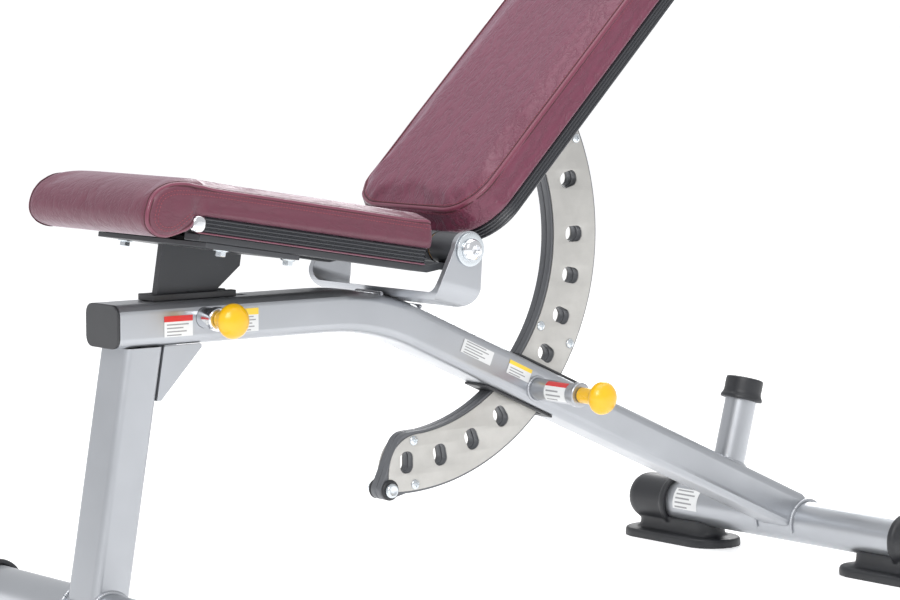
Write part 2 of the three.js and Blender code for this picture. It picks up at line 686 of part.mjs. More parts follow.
// ---- Rest post --------------------------------------------------------------------------------
{
  const group = new THREE.Group();
  group.position.set(POST_TOP_X, 0, POST_TOP_Z);
  group.rotation.y = rad(POST_LEAN);
  bench.add(group);
  const lean = rad(POST_LEAN);
  const beamTopZ = (x) => slopeMidZ(x) + halfBeam / Math.cos(slope);
  // The post's axis runs down from its top to the beam's top face.
  const tall =
    (POST_TOP_Z - beamTopZ(POST_TOP_X)) / (Math.cos(lean) + Math.sin(lean) * Math.tan(slope));
  // Seen along the post, the beam's face falls away by the two angles together.
  const cut = new THREE.BoxGeometry(300, 120, 100)
    .translate(0, 0, -50)
    .rotateY(slope - lean)
    .translate(0, 0, -tall + GAP);
  const tube = raised(ringShape(POST_RADIUS, POST_RADIUS - POST_WALL), -tall - 30, -GAP - POST_CAP_WALL, 14);
  add(group, "rest_post", "silver", tube.subtract(solid(cut)));
  const outer = POST_RADIUS + POST_CAP_WALL;
  const inner = POST_RADIUS + GAP;
  const points = [
    [0, 0],
    [outer - 3, 0],
    [outer, -3],
    [outer, -POST_CAP_HEIGHT + 8],
    [outer + 3, -POST_CAP_HEIGHT + 2],
    [outer + 2, -POST_CAP_HEIGHT],
    [inner, -POST_CAP_HEIGHT],
    [inner, -POST_CAP_WALL],
    [0, -POST_CAP_WALL],
  ].map(([r, y]) => new THREE.Vector2(r, y));
  add(group, "rest_post_cap", "rubber", solid(new THREE.LatheGeometry(points, 24).rotateX(Math.PI / 2)));
}

// ---- Guides for the arc plate, above and below the beam ------------------------------------------
for (const [place, sign] of [["top", 1], ["bottom", -1]]) {
  const across = 22;
  const [edgeX] = polar((ARC_INNER + ARC_OUTER) / 2, BACK_PIN_ANGLE + (sign > 0 ? 7 : -2.5));
  const plate = block(-58, 58, -across, across, 0, ARC_GUIDE_THICKNESS);
  const face = sign * (halfBeam + GAP) - (sign > 0 ? 0 : ARC_GUIDE_THICKNESS);
  const shape = new THREE.Matrix4().makeRotationY(slope).setPosition(edgeX, 0, slopeMidZ(edgeX));
  const lifted = geometryOf(plate).translate(0, 0, face).applyMatrix4(shape);
  add(bench, `arc_guide_${place}`, "plastic", solid(lifted).subtract(arcSweep(SCREW_HEAD_CLEARANCE, 80, 340, -360, -60)));
}

// ---- Back: hinge tube, ears, spine, plates and landing channel ------------------------------------
add(backGroup, "back_hinge_tube", "charcoal", barY(HINGE_TUBE_RADIUS, HINGE_TUBE_BORE, -BACK_TUBE_HALF, BACK_TUBE_HALF));
const plateTop = -BACK_BOARD_DEPTH - GAP;
const spineTop = plateTop - PLATE_THICKNESS - GAP;
const spineBottom = spineTop - SPINE_DEPTH;
for (const [side, sign] of [["near", -1], ["far", 1]]) {
  add(backGroup, `back_bush_${side}`, "bronze", bush(sign, BACK_TUBE_HALF + GAP));
  const ear = outline([
    [-10, -EAR_EYE + 3],
    [SPINE_START - 2, spineBottom],
    [SPINE_START + 90, spineBottom],
    [SPINE_START + 90, spineTop],
    [SPINE_START - 2, spineTop],
    [BACK_START + 3, plateTop],
    [EAR_EYE - 2, -8],
  ]);
  const y = sign * (SPINE_WIDTH / 2 + GAP + EAR_THICKNESS / 2);
  const [y0, y1] = [y - EAR_THICKNESS / 2, y + EAR_THICKNESS / 2];
  let plate = acrossY(ear, y0, y1).add(barY(EAR_EYE, 0, y0, y1));
  plate = plate.subtract(barY(HINGE_TUBE_RADIUS + GAP, 0, y0 - 1, y1 + 1));
  add(backGroup, `back_ear_${side}`, "charcoal", plate);
}
{
  const half = SPINE_WIDTH / 2;
  const path = new THREE.LineCurve3(
    new THREE.Vector3(SPINE_START, 0, (spineTop + spineBottom) / 2),
    new THREE.Vector3(SPINE_END, 0, (spineTop + spineBottom) / 2),
  );
  add(backGroup, "back_spine", "charcoal", sweep(SPINE_DEPTH, 2 * half, 4, SPINE_WALL, path, 1));
  for (const [name, start] of [["back_plate_lower", LOWER_PLATE_START], ["back_plate_upper", UPPER_PLATE_START]]) {
    const wide = BACK_PLATE_HALF_WIDTH;
    const shape = roundedRect(start, start + BACK_PLATE_LENGTH, -wide, wide, 10);
    add(backGroup, name, "charcoal", raised(shape, plateTop - PLATE_THICKNESS, plateTop));
  }
  // Where the rest post's cap meets the back: in line with the post in the decline position.
  const [postS] = [POST_TOP_X * Math.cos(rad(POST_LEAN)) - POST_TOP_Z * Math.sin(rad(POST_LEAN))];
  const from = postS - LANDING_LENGTH / 2;
  const wide = LANDING_HALF_WIDTH;
  const channel = block(from, from + LANDING_LENGTH, -wide, wide, plateTop - LANDING_DEPTH, plateTop).subtract(
    block(from - 1, from + LANDING_LENGTH + 1, -wide + LANDING_WALL, wide - LANDING_WALL,
      plateTop - LANDING_DEPTH + LANDING_WALL, plateTop + 1),
  );
  add(backGroup, "back_landing_channel", "charcoal", channel);
}

// ---- Arc plate: core, two covers, screws, bumper and its bolt -------------------------------------
/** Everything below the spine, in the pose shown: cuts the arc's upper end to lie on the spine. */
function belowSpine(clear) {
  const box = new THREE.BoxGeometry(1600, 200, 800).translate(0, 0, spineBottom - clear - 400);
  return solid(box.rotateY(-rad(BACK_ANGLE)));
}

/** Radial slots through the arc plate, each end on a straight edge with rounded corners. */
function arcSlots(halfWidth) {
  const slots = [];
  for (let i = 0; i <= SLOT_COUNT_BELOW_LEVEL + 1; i += 1) {
    const angle = i === 0 ? SLOT_FIRST : -(i - 1) * SLOT_STEP;
    const shape = roundedRect(
      SLOT_CIRCLE - SLOT_LENGTH / 2, SLOT_CIRCLE + SLOT_LENGTH / 2, -SLOT_WIDTH / 2, SLOT_WIDTH / 2, 8.5);
    const options = { depth: 2 * halfWidth, bevelEnabled: false, curveSegments: 2 };
    slots.push(
      solid(
        new THREE.ExtrudeGeometry(shape, options)
          .rotateX(Math.PI / 2)
          .translate(0, halfWidth, 0)
          .rotateY(-rad(angle)),
      ),
    );
  }
  return slots;
}

/** Part of a ring between two angles, as a shape, with the two corners at its lower end rounded. */
function sector(inner, outer, from, to, innerCorner, outerCorner) {
  const shape = new THREE.Shape();
  shape.moveTo(...polar(outer, to));
  const outerStep = THREE.MathUtils.radToDeg(outerCorner / outer);
  const innerStep = THREE.MathUtils.radToDeg(innerCorner / inner);
  shape.absarc(0, 0, outer, rad(to), rad(from + outerStep), true);
  shape.quadraticCurveTo(...polar(outer, from), ...polar(outer - outerCorner, from));
  shape.lineTo(...polar(inner + innerCorner, from));
  shape.quadraticCurveTo(...polar(inner, from), ...polar(inner, from + innerStep));
  shape.absarc(0, 0, inner, rad(from + innerStep), rad(to), false);
  return shape;
}

{
  const [bumperX, bumperZ] = polar(BUMPER_CIRCLE, BUMPER_ANGLE);
  const half = ARC_CORE / 2;
  const arc = new THREE.Group();
  bench.add(arc);
  const toe = outline([
    polar(ARC_INNER + 4, ARC_END),
    [bumperX - LUG_RADIUS * 0.92, bumperZ + LUG_RADIUS * 0.35],
    [bumperX, bumperZ - LUG_RADIUS],
    polar(ARC_OUTER, ARC_END + 2),
    polar(ARC_INNER + 4, ARC_END + 2),
  ]);
  let core = acrossY(sector(ARC_INNER, ARC_OUTER, ARC_END, 42, 5, 5), -half, half, 18);
  core = core.add(acrossY(toe, -half, half)).add(barY(LUG_RADIUS, 0, -half, half, bumperX, bumperZ));
  core = core.subtract(barY(BUMPER_WAIST + GAP, 0, -30, 30, bumperX, bumperZ));
  core = core.intersect(belowSpine(GAP));
  const screwAt = ARC_SCREW_ANGLES.flatMap((angle) =>
    [ARC_INNER + ARC_SCREW_INSET, ARC_OUTER - ARC_SCREW_INSET].map((radius) => polar(radius, angle)),
  );
  const cutAll = (body, tools) => tools.reduce((rest, tool) => rest.subtract(tool), body);
  const holes = screwAt.map(([x, z]) => barY(3 + GAP, 0, -30, 30, x, z, 10));
  const slots = arcSlots(20);
  add(arc, "arc_core", "charcoal", cutAll(core, [...slots, ...holes]));
  const coverShape = sector(
    ARC_INNER + ARC_COVER_INSET,
    ARC_OUTER - ARC_COVER_INSET,
    ARC_COVER_END,
    42,
    ARC_COVER_INNER_CORNER,
    ARC_COVER_OUTER_CORNER,
  );
  const bumperClear = barY(BUMPER_RADIUS + 0.5, 0, -30, 30, bumperX, bumperZ);
  for (const [side, sign] of [["near", -1], ["far", 1]]) {
    const ends = [sign * (half + GAP), sign * (half + GAP + ARC_COVER)].sort((a, b) => a - b);
    const cover = acrossY(coverShape, ends[0], ends[1], 18).intersect(belowSpine(GAP));
    add(arc, `arc_cover_${side}`, "stainless", cutAll(cover, [bumperClear, ...slots, ...holes]));
  }
  const faceY = half + GAP + ARC_COVER + GAP;
  screwAt.forEach(([x, z], i) => {
    const profile = [
      [0, -faceY - 2.5], [4, -faceY - 2.2], [6, -faceY], [3, -faceY],
      [3, faceY], [6, faceY], [4, faceY + 2.2], [0, faceY + 2.5],
    ];
    add(arc, `arc_screw_${i + 1}`, "chrome", turnedY(profile, x, z, 10));
  });
  // The bumper is a rubber sleeve with a waist, like a grommet, that grips the lug.
  const b = BUMPER_RADIUS;
  const waist = BUMPER_WAIST;
  const bore = BUMPER_BOLT + GAP;
  add(arc, "stop_bumper", "rubber", turnedY(
    [
      [bore, -BUMPER_HALF_LENGTH], [b - 1, -BUMPER_HALF_LENGTH], [b, 1 - BUMPER_HALF_LENGTH],
      [b, -half - GAP], [waist, -half - GAP], [waist, half + GAP], [b, half + GAP],
      [b, BUMPER_HALF_LENGTH - 1], [b - 1, BUMPER_HALF_LENGTH], [bore, BUMPER_HALF_LENGTH],
      [bore, -BUMPER_HALF_LENGTH],
    ],
    bumperX, bumperZ, 20));
  const boltY = BUMPER_HALF_LENGTH + GAP;
  add(arc, "bumper_bolt", "chrome", turnedY(
    [
      [0, -boltY - 5], [5, -boltY - 4.5], [9, -boltY - 2], [9, -boltY], [BUMPER_BOLT, -boltY],
      [BUMPER_BOLT, boltY], [8, boltY], [8, boltY + 6], [0, boltY + 6],
    ],
    bumperX, bumperZ, 16));
}

// ---- Pads, boards and trims --------------------------------------------------------------------
const softEdge = {
  bevelEnabled: true, bevelThickness: PAD_EDGE, bevelSize: PAD_EDGE * 0.8, bevelOffset: -PAD_EDGE * 0.8, bevelSegments: 3,
};

/** A pad's outline, set in from the pad's full size, between two distances from the hinge. */
function padShape(start, end, inset, corner) {
  const wide = PAD_HALF_WIDTH - inset;
  return roundedRect(start + inset, end - inset, -wide, wide, Math.max(corner - inset, 3));
}

/** The same outline mirrored to the seat's side of the hinge. */
function seatShape(end, inset) {
  const wide = PAD_HALF_WIDTH - inset;
  return roundedRect(-end + inset, -SEAT_START - inset, -wide, wide, Math.max(SEAT_CORNER - inset, 3));
}

{
  const bottom = -BACK_BOARD_DEPTH;
  const boardTop = bottom + BOARD_THICKNESS;
  const trimInset = BOARD_INSET - GAP - TRIM_THICKNESS;
  add(backGroup, "back_board", "board", raised(padShape(BACK_START, BACK_END, BOARD_INSET, BACK_CORNER), bottom, boardTop));
  const ring = padShape(BACK_START, BACK_END, trimInset, BACK_CORNER);
  ring.holes.push(new THREE.Path(
    padShape(BACK_START, BACK_END, BOARD_INSET - GAP, BACK_CORNER).getPoints(3).reverse()));
  const trimTop = boardTop - GAP;
  add(backGroup, "back_trim", "trim", raised(ring, trimTop - TRIM_HEIGHT, trimTop));
  const low = boardTop + GAP;
  add(backGroup, "back_pad", "vinyl", raised(
    padShape(BACK_START, BACK_END, 0, BACK_CORNER), low + PAD_EDGE, low + PAD_HEIGHT - PAD_EDGE, 5, softEdge));
}

{
  const bottom = -SEAT_BOARD_DEPTH;
  const boardTop = bottom + BOARD_THICKNESS;
  const trimInset = BOARD_INSET - GAP - TRIM_THICKNESS;
  add(seatGroup, "seat_board", "board", raised(seatShape(SEAT_BOARD_END, BOARD_INSET), bottom, boardTop));
  const trimTop = boardTop - GAP;
  let trim = raised(seatShape(SEAT_BOARD_END + 40, trimInset), trimTop - TRIM_HEIGHT, trimTop);
  trim = trim.subtract(raised(seatShape(SEAT_BOARD_END + 80, BOARD_INSET - GAP), bottom - 9, boardTop + 9));
  trim = trim.subtract(block(-SEAT_END, -SEAT_BOARD_END, -200, 200, -90, 90));
  add(seatGroup, "seat_trim", "trim", trim);
  // Side outline of the seat pad: level over the board, then rolled down over the front edge.
  const low = boardTop + GAP;
  const top = low + PAD_HEIGHT - 6;
  const nose = SEAT_BOARD_END + 3;
  const side = new THREE.Shape();
  const e = PAD_EDGE;
  side.moveTo(-SEAT_START - e, low + e);
  side.lineTo(-SEAT_START - e, top - e);
  side.lineTo(-SEAT_END + 70, top - e);
  side.quadraticCurveTo(-SEAT_END + e, top - e - 2, -SEAT_END + e, top - 48);
  side.quadraticCurveTo(-SEAT_END + e, -SEAT_NOSE_DROP + e, -SEAT_END + 34, -SEAT_NOSE_DROP + e);
  side.lineTo(-nose - e - 6, low - 12);
  side.lineTo(-nose - e, low + e);
  const round = { bevelEnabled: true, bevelThickness: e, bevelSize: e, bevelOffset: 0, bevelSegments: 3 };
  add(seatGroup, "seat_pad", "vinyl", acrossY(side, -PAD_HALF_WIDTH + e, PAD_HALF_WIDTH - e, 6, round));
}

// ---- Seat frame: hinge tubes, bushes, rails, cross plate and locking plate ------------------------
{
  const railTop = -SEAT_BOARD_DEPTH - GAP;
  const railUnderTube = -HINGE_TUBE_RADIUS - GAP;
  const railBottom = railTop - SEAT_RAIL_THICKNESS;
  const rail = outline([
    [10, railUnderTube],
    [-SEAT_START + 22, railUnderTube],
    [-SEAT_START, railTop],
    [-SEAT_RAIL_END, railTop],
    [-SEAT_RAIL_END, railBottom],
    [-SEAT_START + 4, railBottom],
    [-SEAT_START + 24, railUnderTube - SEAT_RAIL_THICKNESS],
    [10, railUnderTube - SEAT_RAIL_THICKNESS],
  ]);
  const tubeOuter = BRACKET_HALF_WIDTH - BRACKET_THICKNESS - GAP - BUSH_FLANGE - GAP;
  for (const [side, sign] of [["near", -1], ["far", 1]]) {
    const ends = [sign * SEAT_TUBE_INNER, sign * tubeOuter].sort((a, b) => a - b);
    add(seatGroup, `seat_hinge_tube_${side}`, "charcoal", barY(HINGE_TUBE_RADIUS, HINGE_TUBE_BORE, ends[0], ends[1]));
    add(seatGroup, `seat_bush_${side}`, "bronze", bush(sign, tubeOuter + GAP));
    const y = sign * SEAT_RAIL_Y - SEAT_RAIL_WIDTH / 2;
    add(seatGroup, `seat_rail_${side}`, "charcoal", acrossY(rail, y, y + SEAT_RAIL_WIDTH));
  }
  const crossTop = railBottom - GAP;
  const crossBottom = crossTop - PLATE_THICKNESS;
  const wide = SEAT_RAIL_Y + SEAT_RAIL_WIDTH / 2;
  add(seatGroup, "seat_cross_plate", "charcoal",
    block(-SEAT_CROSS_END, -SEAT_CROSS_START, -wide, wide, crossBottom, crossTop));

  const turn = rad(SEAT_ANGLE);
  const pinS = -(SEAT_PIN_X * Math.cos(turn) - SEAT_PIN_Z * Math.sin(turn));
  const pinN = SEAT_PIN_X * Math.sin(turn) + SEAT_PIN_Z * Math.cos(turn);
  const reach = Math.hypot(pinS, pinN);
  const pinAngle = THREE.MathUtils.radToDeg(Math.atan2(pinN, -pinS));
  const plateBottom = pinN - 16;
  let plate = acrossY(
    outline([
      [-SEAT_PLATE_REAR, crossBottom - GAP],
      [-SEAT_PLATE_REAR, -SEAT_PLATE_STEP_DEPTH],
      [-SEAT_PLATE_WAIST, -SEAT_PLATE_WAIST_DEPTH],
      [-SEAT_PLATE_WAIST - 3, plateBottom],
      [-SEAT_PLATE_FRONT, plateBottom],
      [-SEAT_PLATE_FRONT, crossBottom - GAP],
    ]),
    -plateHalf,
    plateHalf,
  );
  for (const step of [0, -SEAT_STEP]) {
    const [x, z] = polar(reach, pinAngle + step);
    plate = plate.subtract(barY(SEAT_PIN_RADIUS + 0.5, 0, -20, 20, x, z, 20));
  }
  // A scallop lets the arc's bumper by when the back is at its lowest and the seat is flat.
  const [lowX, lowZ] = polar(BUMPER_CIRCLE, BUMPER_ANGLE + BACK_LOWEST);
  plate = plate.subtract(barY(BUMPER_RADIUS + BUMPER_CLEARANCE, 0, -20, 20, lowX, lowZ, 32));
  add(seatGroup, "seat_plate", "charcoal", plate);
}

{
  const z0 = -BEAM_DROP + GAP;
  const guide = block(GUIDE_FRONT_X, GUIDE_REAR_X, -GUIDE_HALF_WIDTH, GUIDE_HALF_WIDTH, z0, z0 + GUIDE_HEIGHT);
  const slot = block(-SEAT_PLATE_FRONT - 16, GUIDE_REAR_X + 5, -plateHalf - 0.6, plateHalf + 0.6, z0 - 5, z0 + 20);
  add(bench, "seat_plate_guide", "plastic", guide.subtract(slot));
}

// ---- Set the bench on the floor, with its outline centred on the origin --------------------------
bench.updateMatrixWorld(true);
const outlineBox = new THREE.Box3().setFromObject(bench, true);
bench.position.set(-(outlineBox.min.x + outlineBox.max.x) / 2, 0, HINGE_HEIGHT);
const group = new THREE.Group();
group.add(bench);
group.updateMatrixWorld(true);

export default group;
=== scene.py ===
"""Looks of an adjustable weight bench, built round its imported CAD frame.

Everything is in metres in the CAD frame: +X to the head end, +Y away from the pull knobs, +Z up.
Sizes inside the classes are in millimetres from the hinge axis, and Place turns them into metres.
"""

import enum
import logging
import math
from dataclasses import dataclass
from typing import Sequence

import bmesh
import bpy
import numpy as np
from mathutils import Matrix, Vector
from mathutils.bvhtree import BVHTree


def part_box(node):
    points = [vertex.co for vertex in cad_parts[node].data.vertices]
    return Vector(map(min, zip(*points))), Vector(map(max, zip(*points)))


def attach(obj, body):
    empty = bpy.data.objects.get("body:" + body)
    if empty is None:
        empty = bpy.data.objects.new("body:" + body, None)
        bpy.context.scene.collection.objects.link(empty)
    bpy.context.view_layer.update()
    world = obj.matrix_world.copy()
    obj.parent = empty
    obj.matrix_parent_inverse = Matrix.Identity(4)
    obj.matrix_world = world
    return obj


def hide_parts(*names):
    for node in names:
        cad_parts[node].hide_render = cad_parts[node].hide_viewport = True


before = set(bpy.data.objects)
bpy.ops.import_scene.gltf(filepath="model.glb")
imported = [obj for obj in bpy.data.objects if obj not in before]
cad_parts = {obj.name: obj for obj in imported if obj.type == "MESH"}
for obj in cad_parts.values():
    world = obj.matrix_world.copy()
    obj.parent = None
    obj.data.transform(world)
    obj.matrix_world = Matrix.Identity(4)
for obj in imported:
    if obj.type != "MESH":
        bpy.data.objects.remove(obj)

Array = np.ndarray
Colour = tuple[float, float, float]

MM = 0.001
BACK_ANGLE = 45.0
SEAT_ANGLE = -9.2
BEAM_SLOPE = 24.0

log = logging.getLogger("bench")


# ---- Places --------------------------------------------------------------------------------
def hinge_axis() -> Array:
    """Middle of the hinge, from the box of the back's hinge tube, in metres."""
    low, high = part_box("back_hinge_tube")
    return (np.array(low) + np.array(high)) / 2


@dataclass(frozen=True)
class Place:
    """A working frame turned about a line across the bench, with its origin in millimetres.

    Attributes:
        turn: Degrees that the u axis rises above level, towards the head end.
        origin: Where the frame's zero lies, in millimetres from the hinge axis.
    """

    turn: float = 0.0
    origin: tuple[float, float, float] = (0.0, 0.0, 0.0)

    def axes(self) -> Array:
        """Rows u, v and w: along, across, and square to both."""
        c, s = math.cos(math.radians(self.turn)), math.sin(math.radians(self.turn))
        return np.array([[c, 0, s], [0, 1, 0], [-s, 0, c]])

    def metres(self, points: Array) -> Array:
        """Points (u, v, w) in millimetres to metres in the CAD frame."""
        return hinge_axis() + (np.asarray(points, float) @ self.axes() + np.array(self.origin)) * MM

    def local(self, points: Array) -> Array:
        """Points in metres in the CAD frame to (u, v, w) in millimetres."""
        return ((np.asarray(points, float) - hinge_axis()) / MM - np.array(self.origin)) @ self.axes().T


LEVEL = Place()
BACK = Place(BACK_ANGLE)
SEAT = Place(SEAT_ANGLE)


def polar(radius: Array | float, degrees: Array | float) -> Array:
    """Points (radius cos angle, radius sin angle), angles in degrees."""
    angle = np.radians(degrees)
    return np.stack(np.broadcast_arrays(radius * np.cos(angle), radius * np.sin(angle)), -1)


# ---- Outlines and paths --------------------------------------------------------------------
def resampled(points: Array, count: int, closed: bool) -> Array:
    """The same line with evenly spaced points, by linear steps along its length.

    Args:
        points: Corner points, one row each.
        count: How many points to return.
        closed: Whether the line runs back to its start.
    """
    line = np.vstack([points, points[:1]]) if closed else np.asarray(points, float)
    length = np.concatenate([[0], np.cumsum(np.linalg.norm(np.diff(line, axis=0), axis=1))])
    stations = np.linspace(
        0, length[-1], count + 1
    )[:-1] if closed else np.linspace(0, length[-1], count)
    return np.stack([np.interp(stations, length, line[:, k]) for k in range(line.shape[1])], 1)


def softened(points: Array, reach: float, closed: bool, steps: int = 6) -> Array:
    """A line with each corner P turned into a quadratic arc that starts and ends `reach` from P.

    The arc is (1-t)^2 start + 2t(1-t) P + t^2 end, with t from 0 to 1.
    """
    p = np.asarray(points, float)
    before, after = np.roll(p, 1, 0) - p, np.roll(p, -1, 0) - p
    size = [np.maximum(np.linalg.norm(d, axis=1, keepdims=True), 1e-9) for d in (before, after)]
    cut = np.minimum(reach, 0.48 * np.minimum(*size))
    start, end = p + before / size[0] * cut, p + after / size[1] * cut
    if not closed:
        start[0] = end[0] = p[0]
        start[-1] = end[-1] = p[-1]
    t = np.linspace(0, 1, steps + 1)[None, :, None]
    arcs = (1 - t) ** 2 * start[:, None] + 2 * t * (1 - t) * p[:, None] + t**2 * end[:, None]
    arcs = list(arcs)
    if not closed:
        arcs[0], arcs[-1] = p[:1], p[-1:]
    return np.concatenate(arcs)


def round_rectangle(
    u0: float, u1: float, v0: float, v1: float, radius: float, steps: int = 16
) -> Array:
    """Counter-clockwise rectangle with true round corners: each is centre + radius (cos a, sin a)."""
    centres = np.array(
        [
            [u1 - radius, v0 + radius], [u1 - radius, v1 - radius], [u0 + radius, v1 - radius],
            [u0 + radius, v0 + radius]
        ]
    )
    arcs = [
        centre + polar(radius, np.linspace(90 * k - 90, 90 * k, steps + 1)) for k,
        centre in enumerate(centres)
    ]
    return np.concatenate(arcs)


def headings(path: Array, closed: bool) -> Array:
    """Unit directions along a path, by central differences."""
    steps = np.roll(path, -1, 0) - np.roll(path, 1, 0) if closed else np.gradient(path, axis=0)
    return steps / np.maximum(np.linalg.norm(steps, axis=1, keepdims=True), 1e-12)


# ---- Meshes --------------------------------------------------------------------------------
def mesh_object(name: str, points: Array, faces: Sequence[Sequence[int]]) -> bpy.types.Object:
    """A mesh object at the origin, in the scene."""
    mesh = bpy.data.meshes.new(name)
    mesh.from_pydata(np.asarray(points, float).tolist(), [], [list(f) for f in faces])
    made = bpy.data.objects.new(name, mesh)
    bpy.context.scene.collection.objects.link(made)
    return made


def coordinates(mesh: bpy.types.Mesh) -> Array:
    """All vertex positions of a mesh, one row each."""
    flat = np.empty(len(mesh.vertices) * 3, np.float32)
    mesh.vertices.foreach_get("co", flat)
    return flat.reshape(-1, 3).astype(float)


def set_coordinates(mesh: bpy.types.Mesh, points: Array) -> None:
    """Puts new vertex positions into a mesh."""
    mesh.vertices.foreach_set("co", np.asarray(points, np.float32).ravel())
    mesh.update()


def tidied(made: bpy.types.Object, merge: float = 1e-6, recalculate: bool = True) -> bpy.types.Object:
    """Merges doubled points and turns the faces outwards."""
    shape = bmesh.new()
    shape.from_mesh(made.data)
    bmesh.ops.remove_doubles(shape, verts=shape.verts, dist=merge)
    if recalculate:
        bmesh.ops.recalc_face_normals(shape, faces=shape.faces)
    shape.to_mesh(made.data)
    shape.free()
    return made


def skin(
    name: str, grid: Array, wrap_rows: bool = False, wrap_columns: bool = True, caps: bool = True
) -> bpy.types.Object:
    """A surface over a grid of points in metres, with its end rows closed by one face each.

    Args:
        name: The object's name.
        grid: Points, rows along the path and columns round the section.
        wrap_rows: Whether the last row joins the first.
        wrap_columns: Whether the last column joins the first.
        caps: Whether an open path's two ends are closed.
    """
    rows, columns = grid.shape[:2]
    i, j = np.meshgrid(
        np.arange(rows - (not wrap_rows)), np.arange(columns - (not wrap_columns)), indexing="ij"
    )
    next_i, next_j = (i + 1) % rows, (j + 1) % columns
    faces = np.stack(
        [i * columns + j, i * columns + next_j, next_i * columns + next_j, next_i * columns + j], -1
    )
    listed = faces.reshape(-1, 4).tolist()
    if caps and wrap_columns and not wrap_rows:
        listed += [list(range(columns)), list(range((rows - 1) * columns, rows * columns))]
    return tidied(mesh_object(name, grid.reshape(-1, 3), listed))


def turned(name: str, profile: Sequence[tuple[float, float]], centre: Sequence[float], place: Place = LEVEL,
           axis: str = "v", sides: int = 72, soften: float = 0.0, ring: bool = False) -> bpy.types.Object:
    """A turned piece: point = centre + height * axis + radius (cos a * first + sin a * second).

    Args:
        name: The object's name.
        profile: (radius, height) points in millimetres.
        centre: Where height zero lies, in the place's millimetres.
        place: The working frame.
        axis: Which of the frame's axes it is turned round: u, v or w.
        sides: Steps round the axis.
        soften: Rounding of the profile's corners, in millimetres.
        ring: Whether the profile is a closed loop, as for a washer or tube.
    """
    line = np.asarray(profile, float)
    if soften > 0:
        line = softened(line, soften, ring, 4)
    k = "uvw".index(axis)
    first, second, along = np.eye(3)[(k + 1) % 3], np.eye(3)[(k + 2) % 3], np.eye(3)[k]
    a = np.linspace(0, 2 * np.pi, sides, endpoint=False)[None, :, None]
    radius, height = line[:, 0][:, None, None], line[:, 1][:, None, None]
    grid = np.asarray(centre, float) + height * along + radius * (
        np.cos(a) * first + np.sin(a) * second
    )
    return skin(name, place.metres(grid), wrap_rows=ring, caps=False)


def swept(
    name: str, path: Array, side: Array, up: Array, section: Array, closed: bool
) -> bpy.types.Object:
    """A section carried along a path: point = path + section_x * side + section_y * up.

    Args:
        name: The object's name.
        path: Points in metres, one row each.
        side: The section's x direction at each point.
        up: The section's y direction at each point.
        section: Closed section, (x, y) rows in millimetres; or one section per path point.
        closed: Whether the path is a loop.
    """
    shape = np.asarray(section, float) * MM
    if shape.ndim == 2:
        shape = np.broadcast_to(shape, (len(path), *shape.shape))
    up = np.broadcast_to(up, path.shape)
    grid = path[:, None] + shape[..., :1] * side[:, None] + shape[..., 1:] * up[:, None]
    return skin(name, grid, wrap_rows=closed)


def round_section(radius_x: float, radius_y: float | None = None, sides: int = 12) -> Array:
    """Ellipse (radius_x cos a, radius_y sin a)."""
    a = np.linspace(0, 2 * np.pi, sides, endpoint=False)
    return np.stack([radius_x * np.cos(a), (radius_y or radius_x) * np.sin(a)], 1)


def bead(
    name: str, path: Array, radius: float, closed: bool = False, pitch: float = 2.6
) -> bpy.types.Object:
    """A weld bead: a round bar whose radius is r (1 + 0.16 |sin(pi * length / pitch)|) along its path.

    Args:
        name: The object's name.
        path: Points in millimetres from the hinge axis.
        radius: Least radius, in millimetres.
        closed: Whether the path is a loop.
        pitch: Millimetres from ripple to ripple.
    """
    spans = np.linalg.norm(np.diff(path, axis=0), axis=1).sum()
    line = resampled(path, max(int(spans / 0.65), 12), closed)
    length = np.linspace(0, spans, len(line))
    ripple = radius * (1 + 0.16 * np.abs(np.sin(np.pi * length / pitch)))
    ends = np.ones(len(line)) if closed else np.clip(
        np.sqrt(np.clip(np.minimum(length, spans - length) / radius, 0.02, 1)), 0, 1
    )
    heading = headings(line, closed)
    guide = np.where(
        np.abs(heading @ np.array([0.3, 0.2, 0.93]))[:, None] > 0.9, [1.0, 0, 0], [0.3, 0.2, 0.93]
    )
    side = np.cross(heading, guide)
    side /= np.linalg.norm(side, axis=1, keepdims=True)
    section = round_section(1.0, sides=10)[None] * (ripple * ends)[:, None, None]
    return swept(name, LEVEL.metres(line), side, np.cross(side, heading), section, closed)


def flat_plate(
    name: str, outline: Array, holes: Sequence[Array], y0: float, y1: float, edge: float
) -> bpy.types.Object:
    """A plate cut to an outline in the upright plane along the bench, with holes and eased edges.

    Args:
        name: The object's name.
        outline: (along, up) rows in millimetres from the hinge axis.
        holes: Outlines cut right through.
        y0: Near face, across the bench.
        y1: Far face.
        edge: Size of the eased edge.
    """
    curve = bpy.data.curves.new(name, "CURVE")
    curve.dimensions, curve.fill_mode = "2D", "BOTH"
    curve.extrude, curve.bevel_depth, curve.offset = (y1 - y0) / 2 - edge, edge, -edge
    curve.bevel_resolution = 2
    for loop in [outline, *holes]:
        spline = curve.splines.new("POLY")
        spline.points.add(len(loop) - 1)
        spline.points.foreach_set(
            "co", np.column_stack([loop, np.zeros(len(loop)), np.ones(len(loop))]).ravel()
        )
        spline.use_cyclic_u = True
    drawn = bpy.data.objects.new(name + "_drawn", curve)
    bpy.context.scene.collection.objects.link(drawn)
    bpy.context.view_layer.update()
    mesh = bpy.data.meshes.new_from_object(drawn.evaluated_get(bpy.context.evaluated_depsgraph_get()))
    bpy.data.objects.remove(drawn)
    mesh.name = name
    flat = coordinates(mesh)
    set_coordinates(
        mesh, LEVEL.metres(np.column_stack([flat[:, 0], (y0 + y1) / 2 - flat[:, 2], flat[:, 1]]))
    )
    made = bpy.data.objects.new(name, mesh)
    bpy.context.scene.collection.objects.link(made)
    return tidied(made, 2e-6)


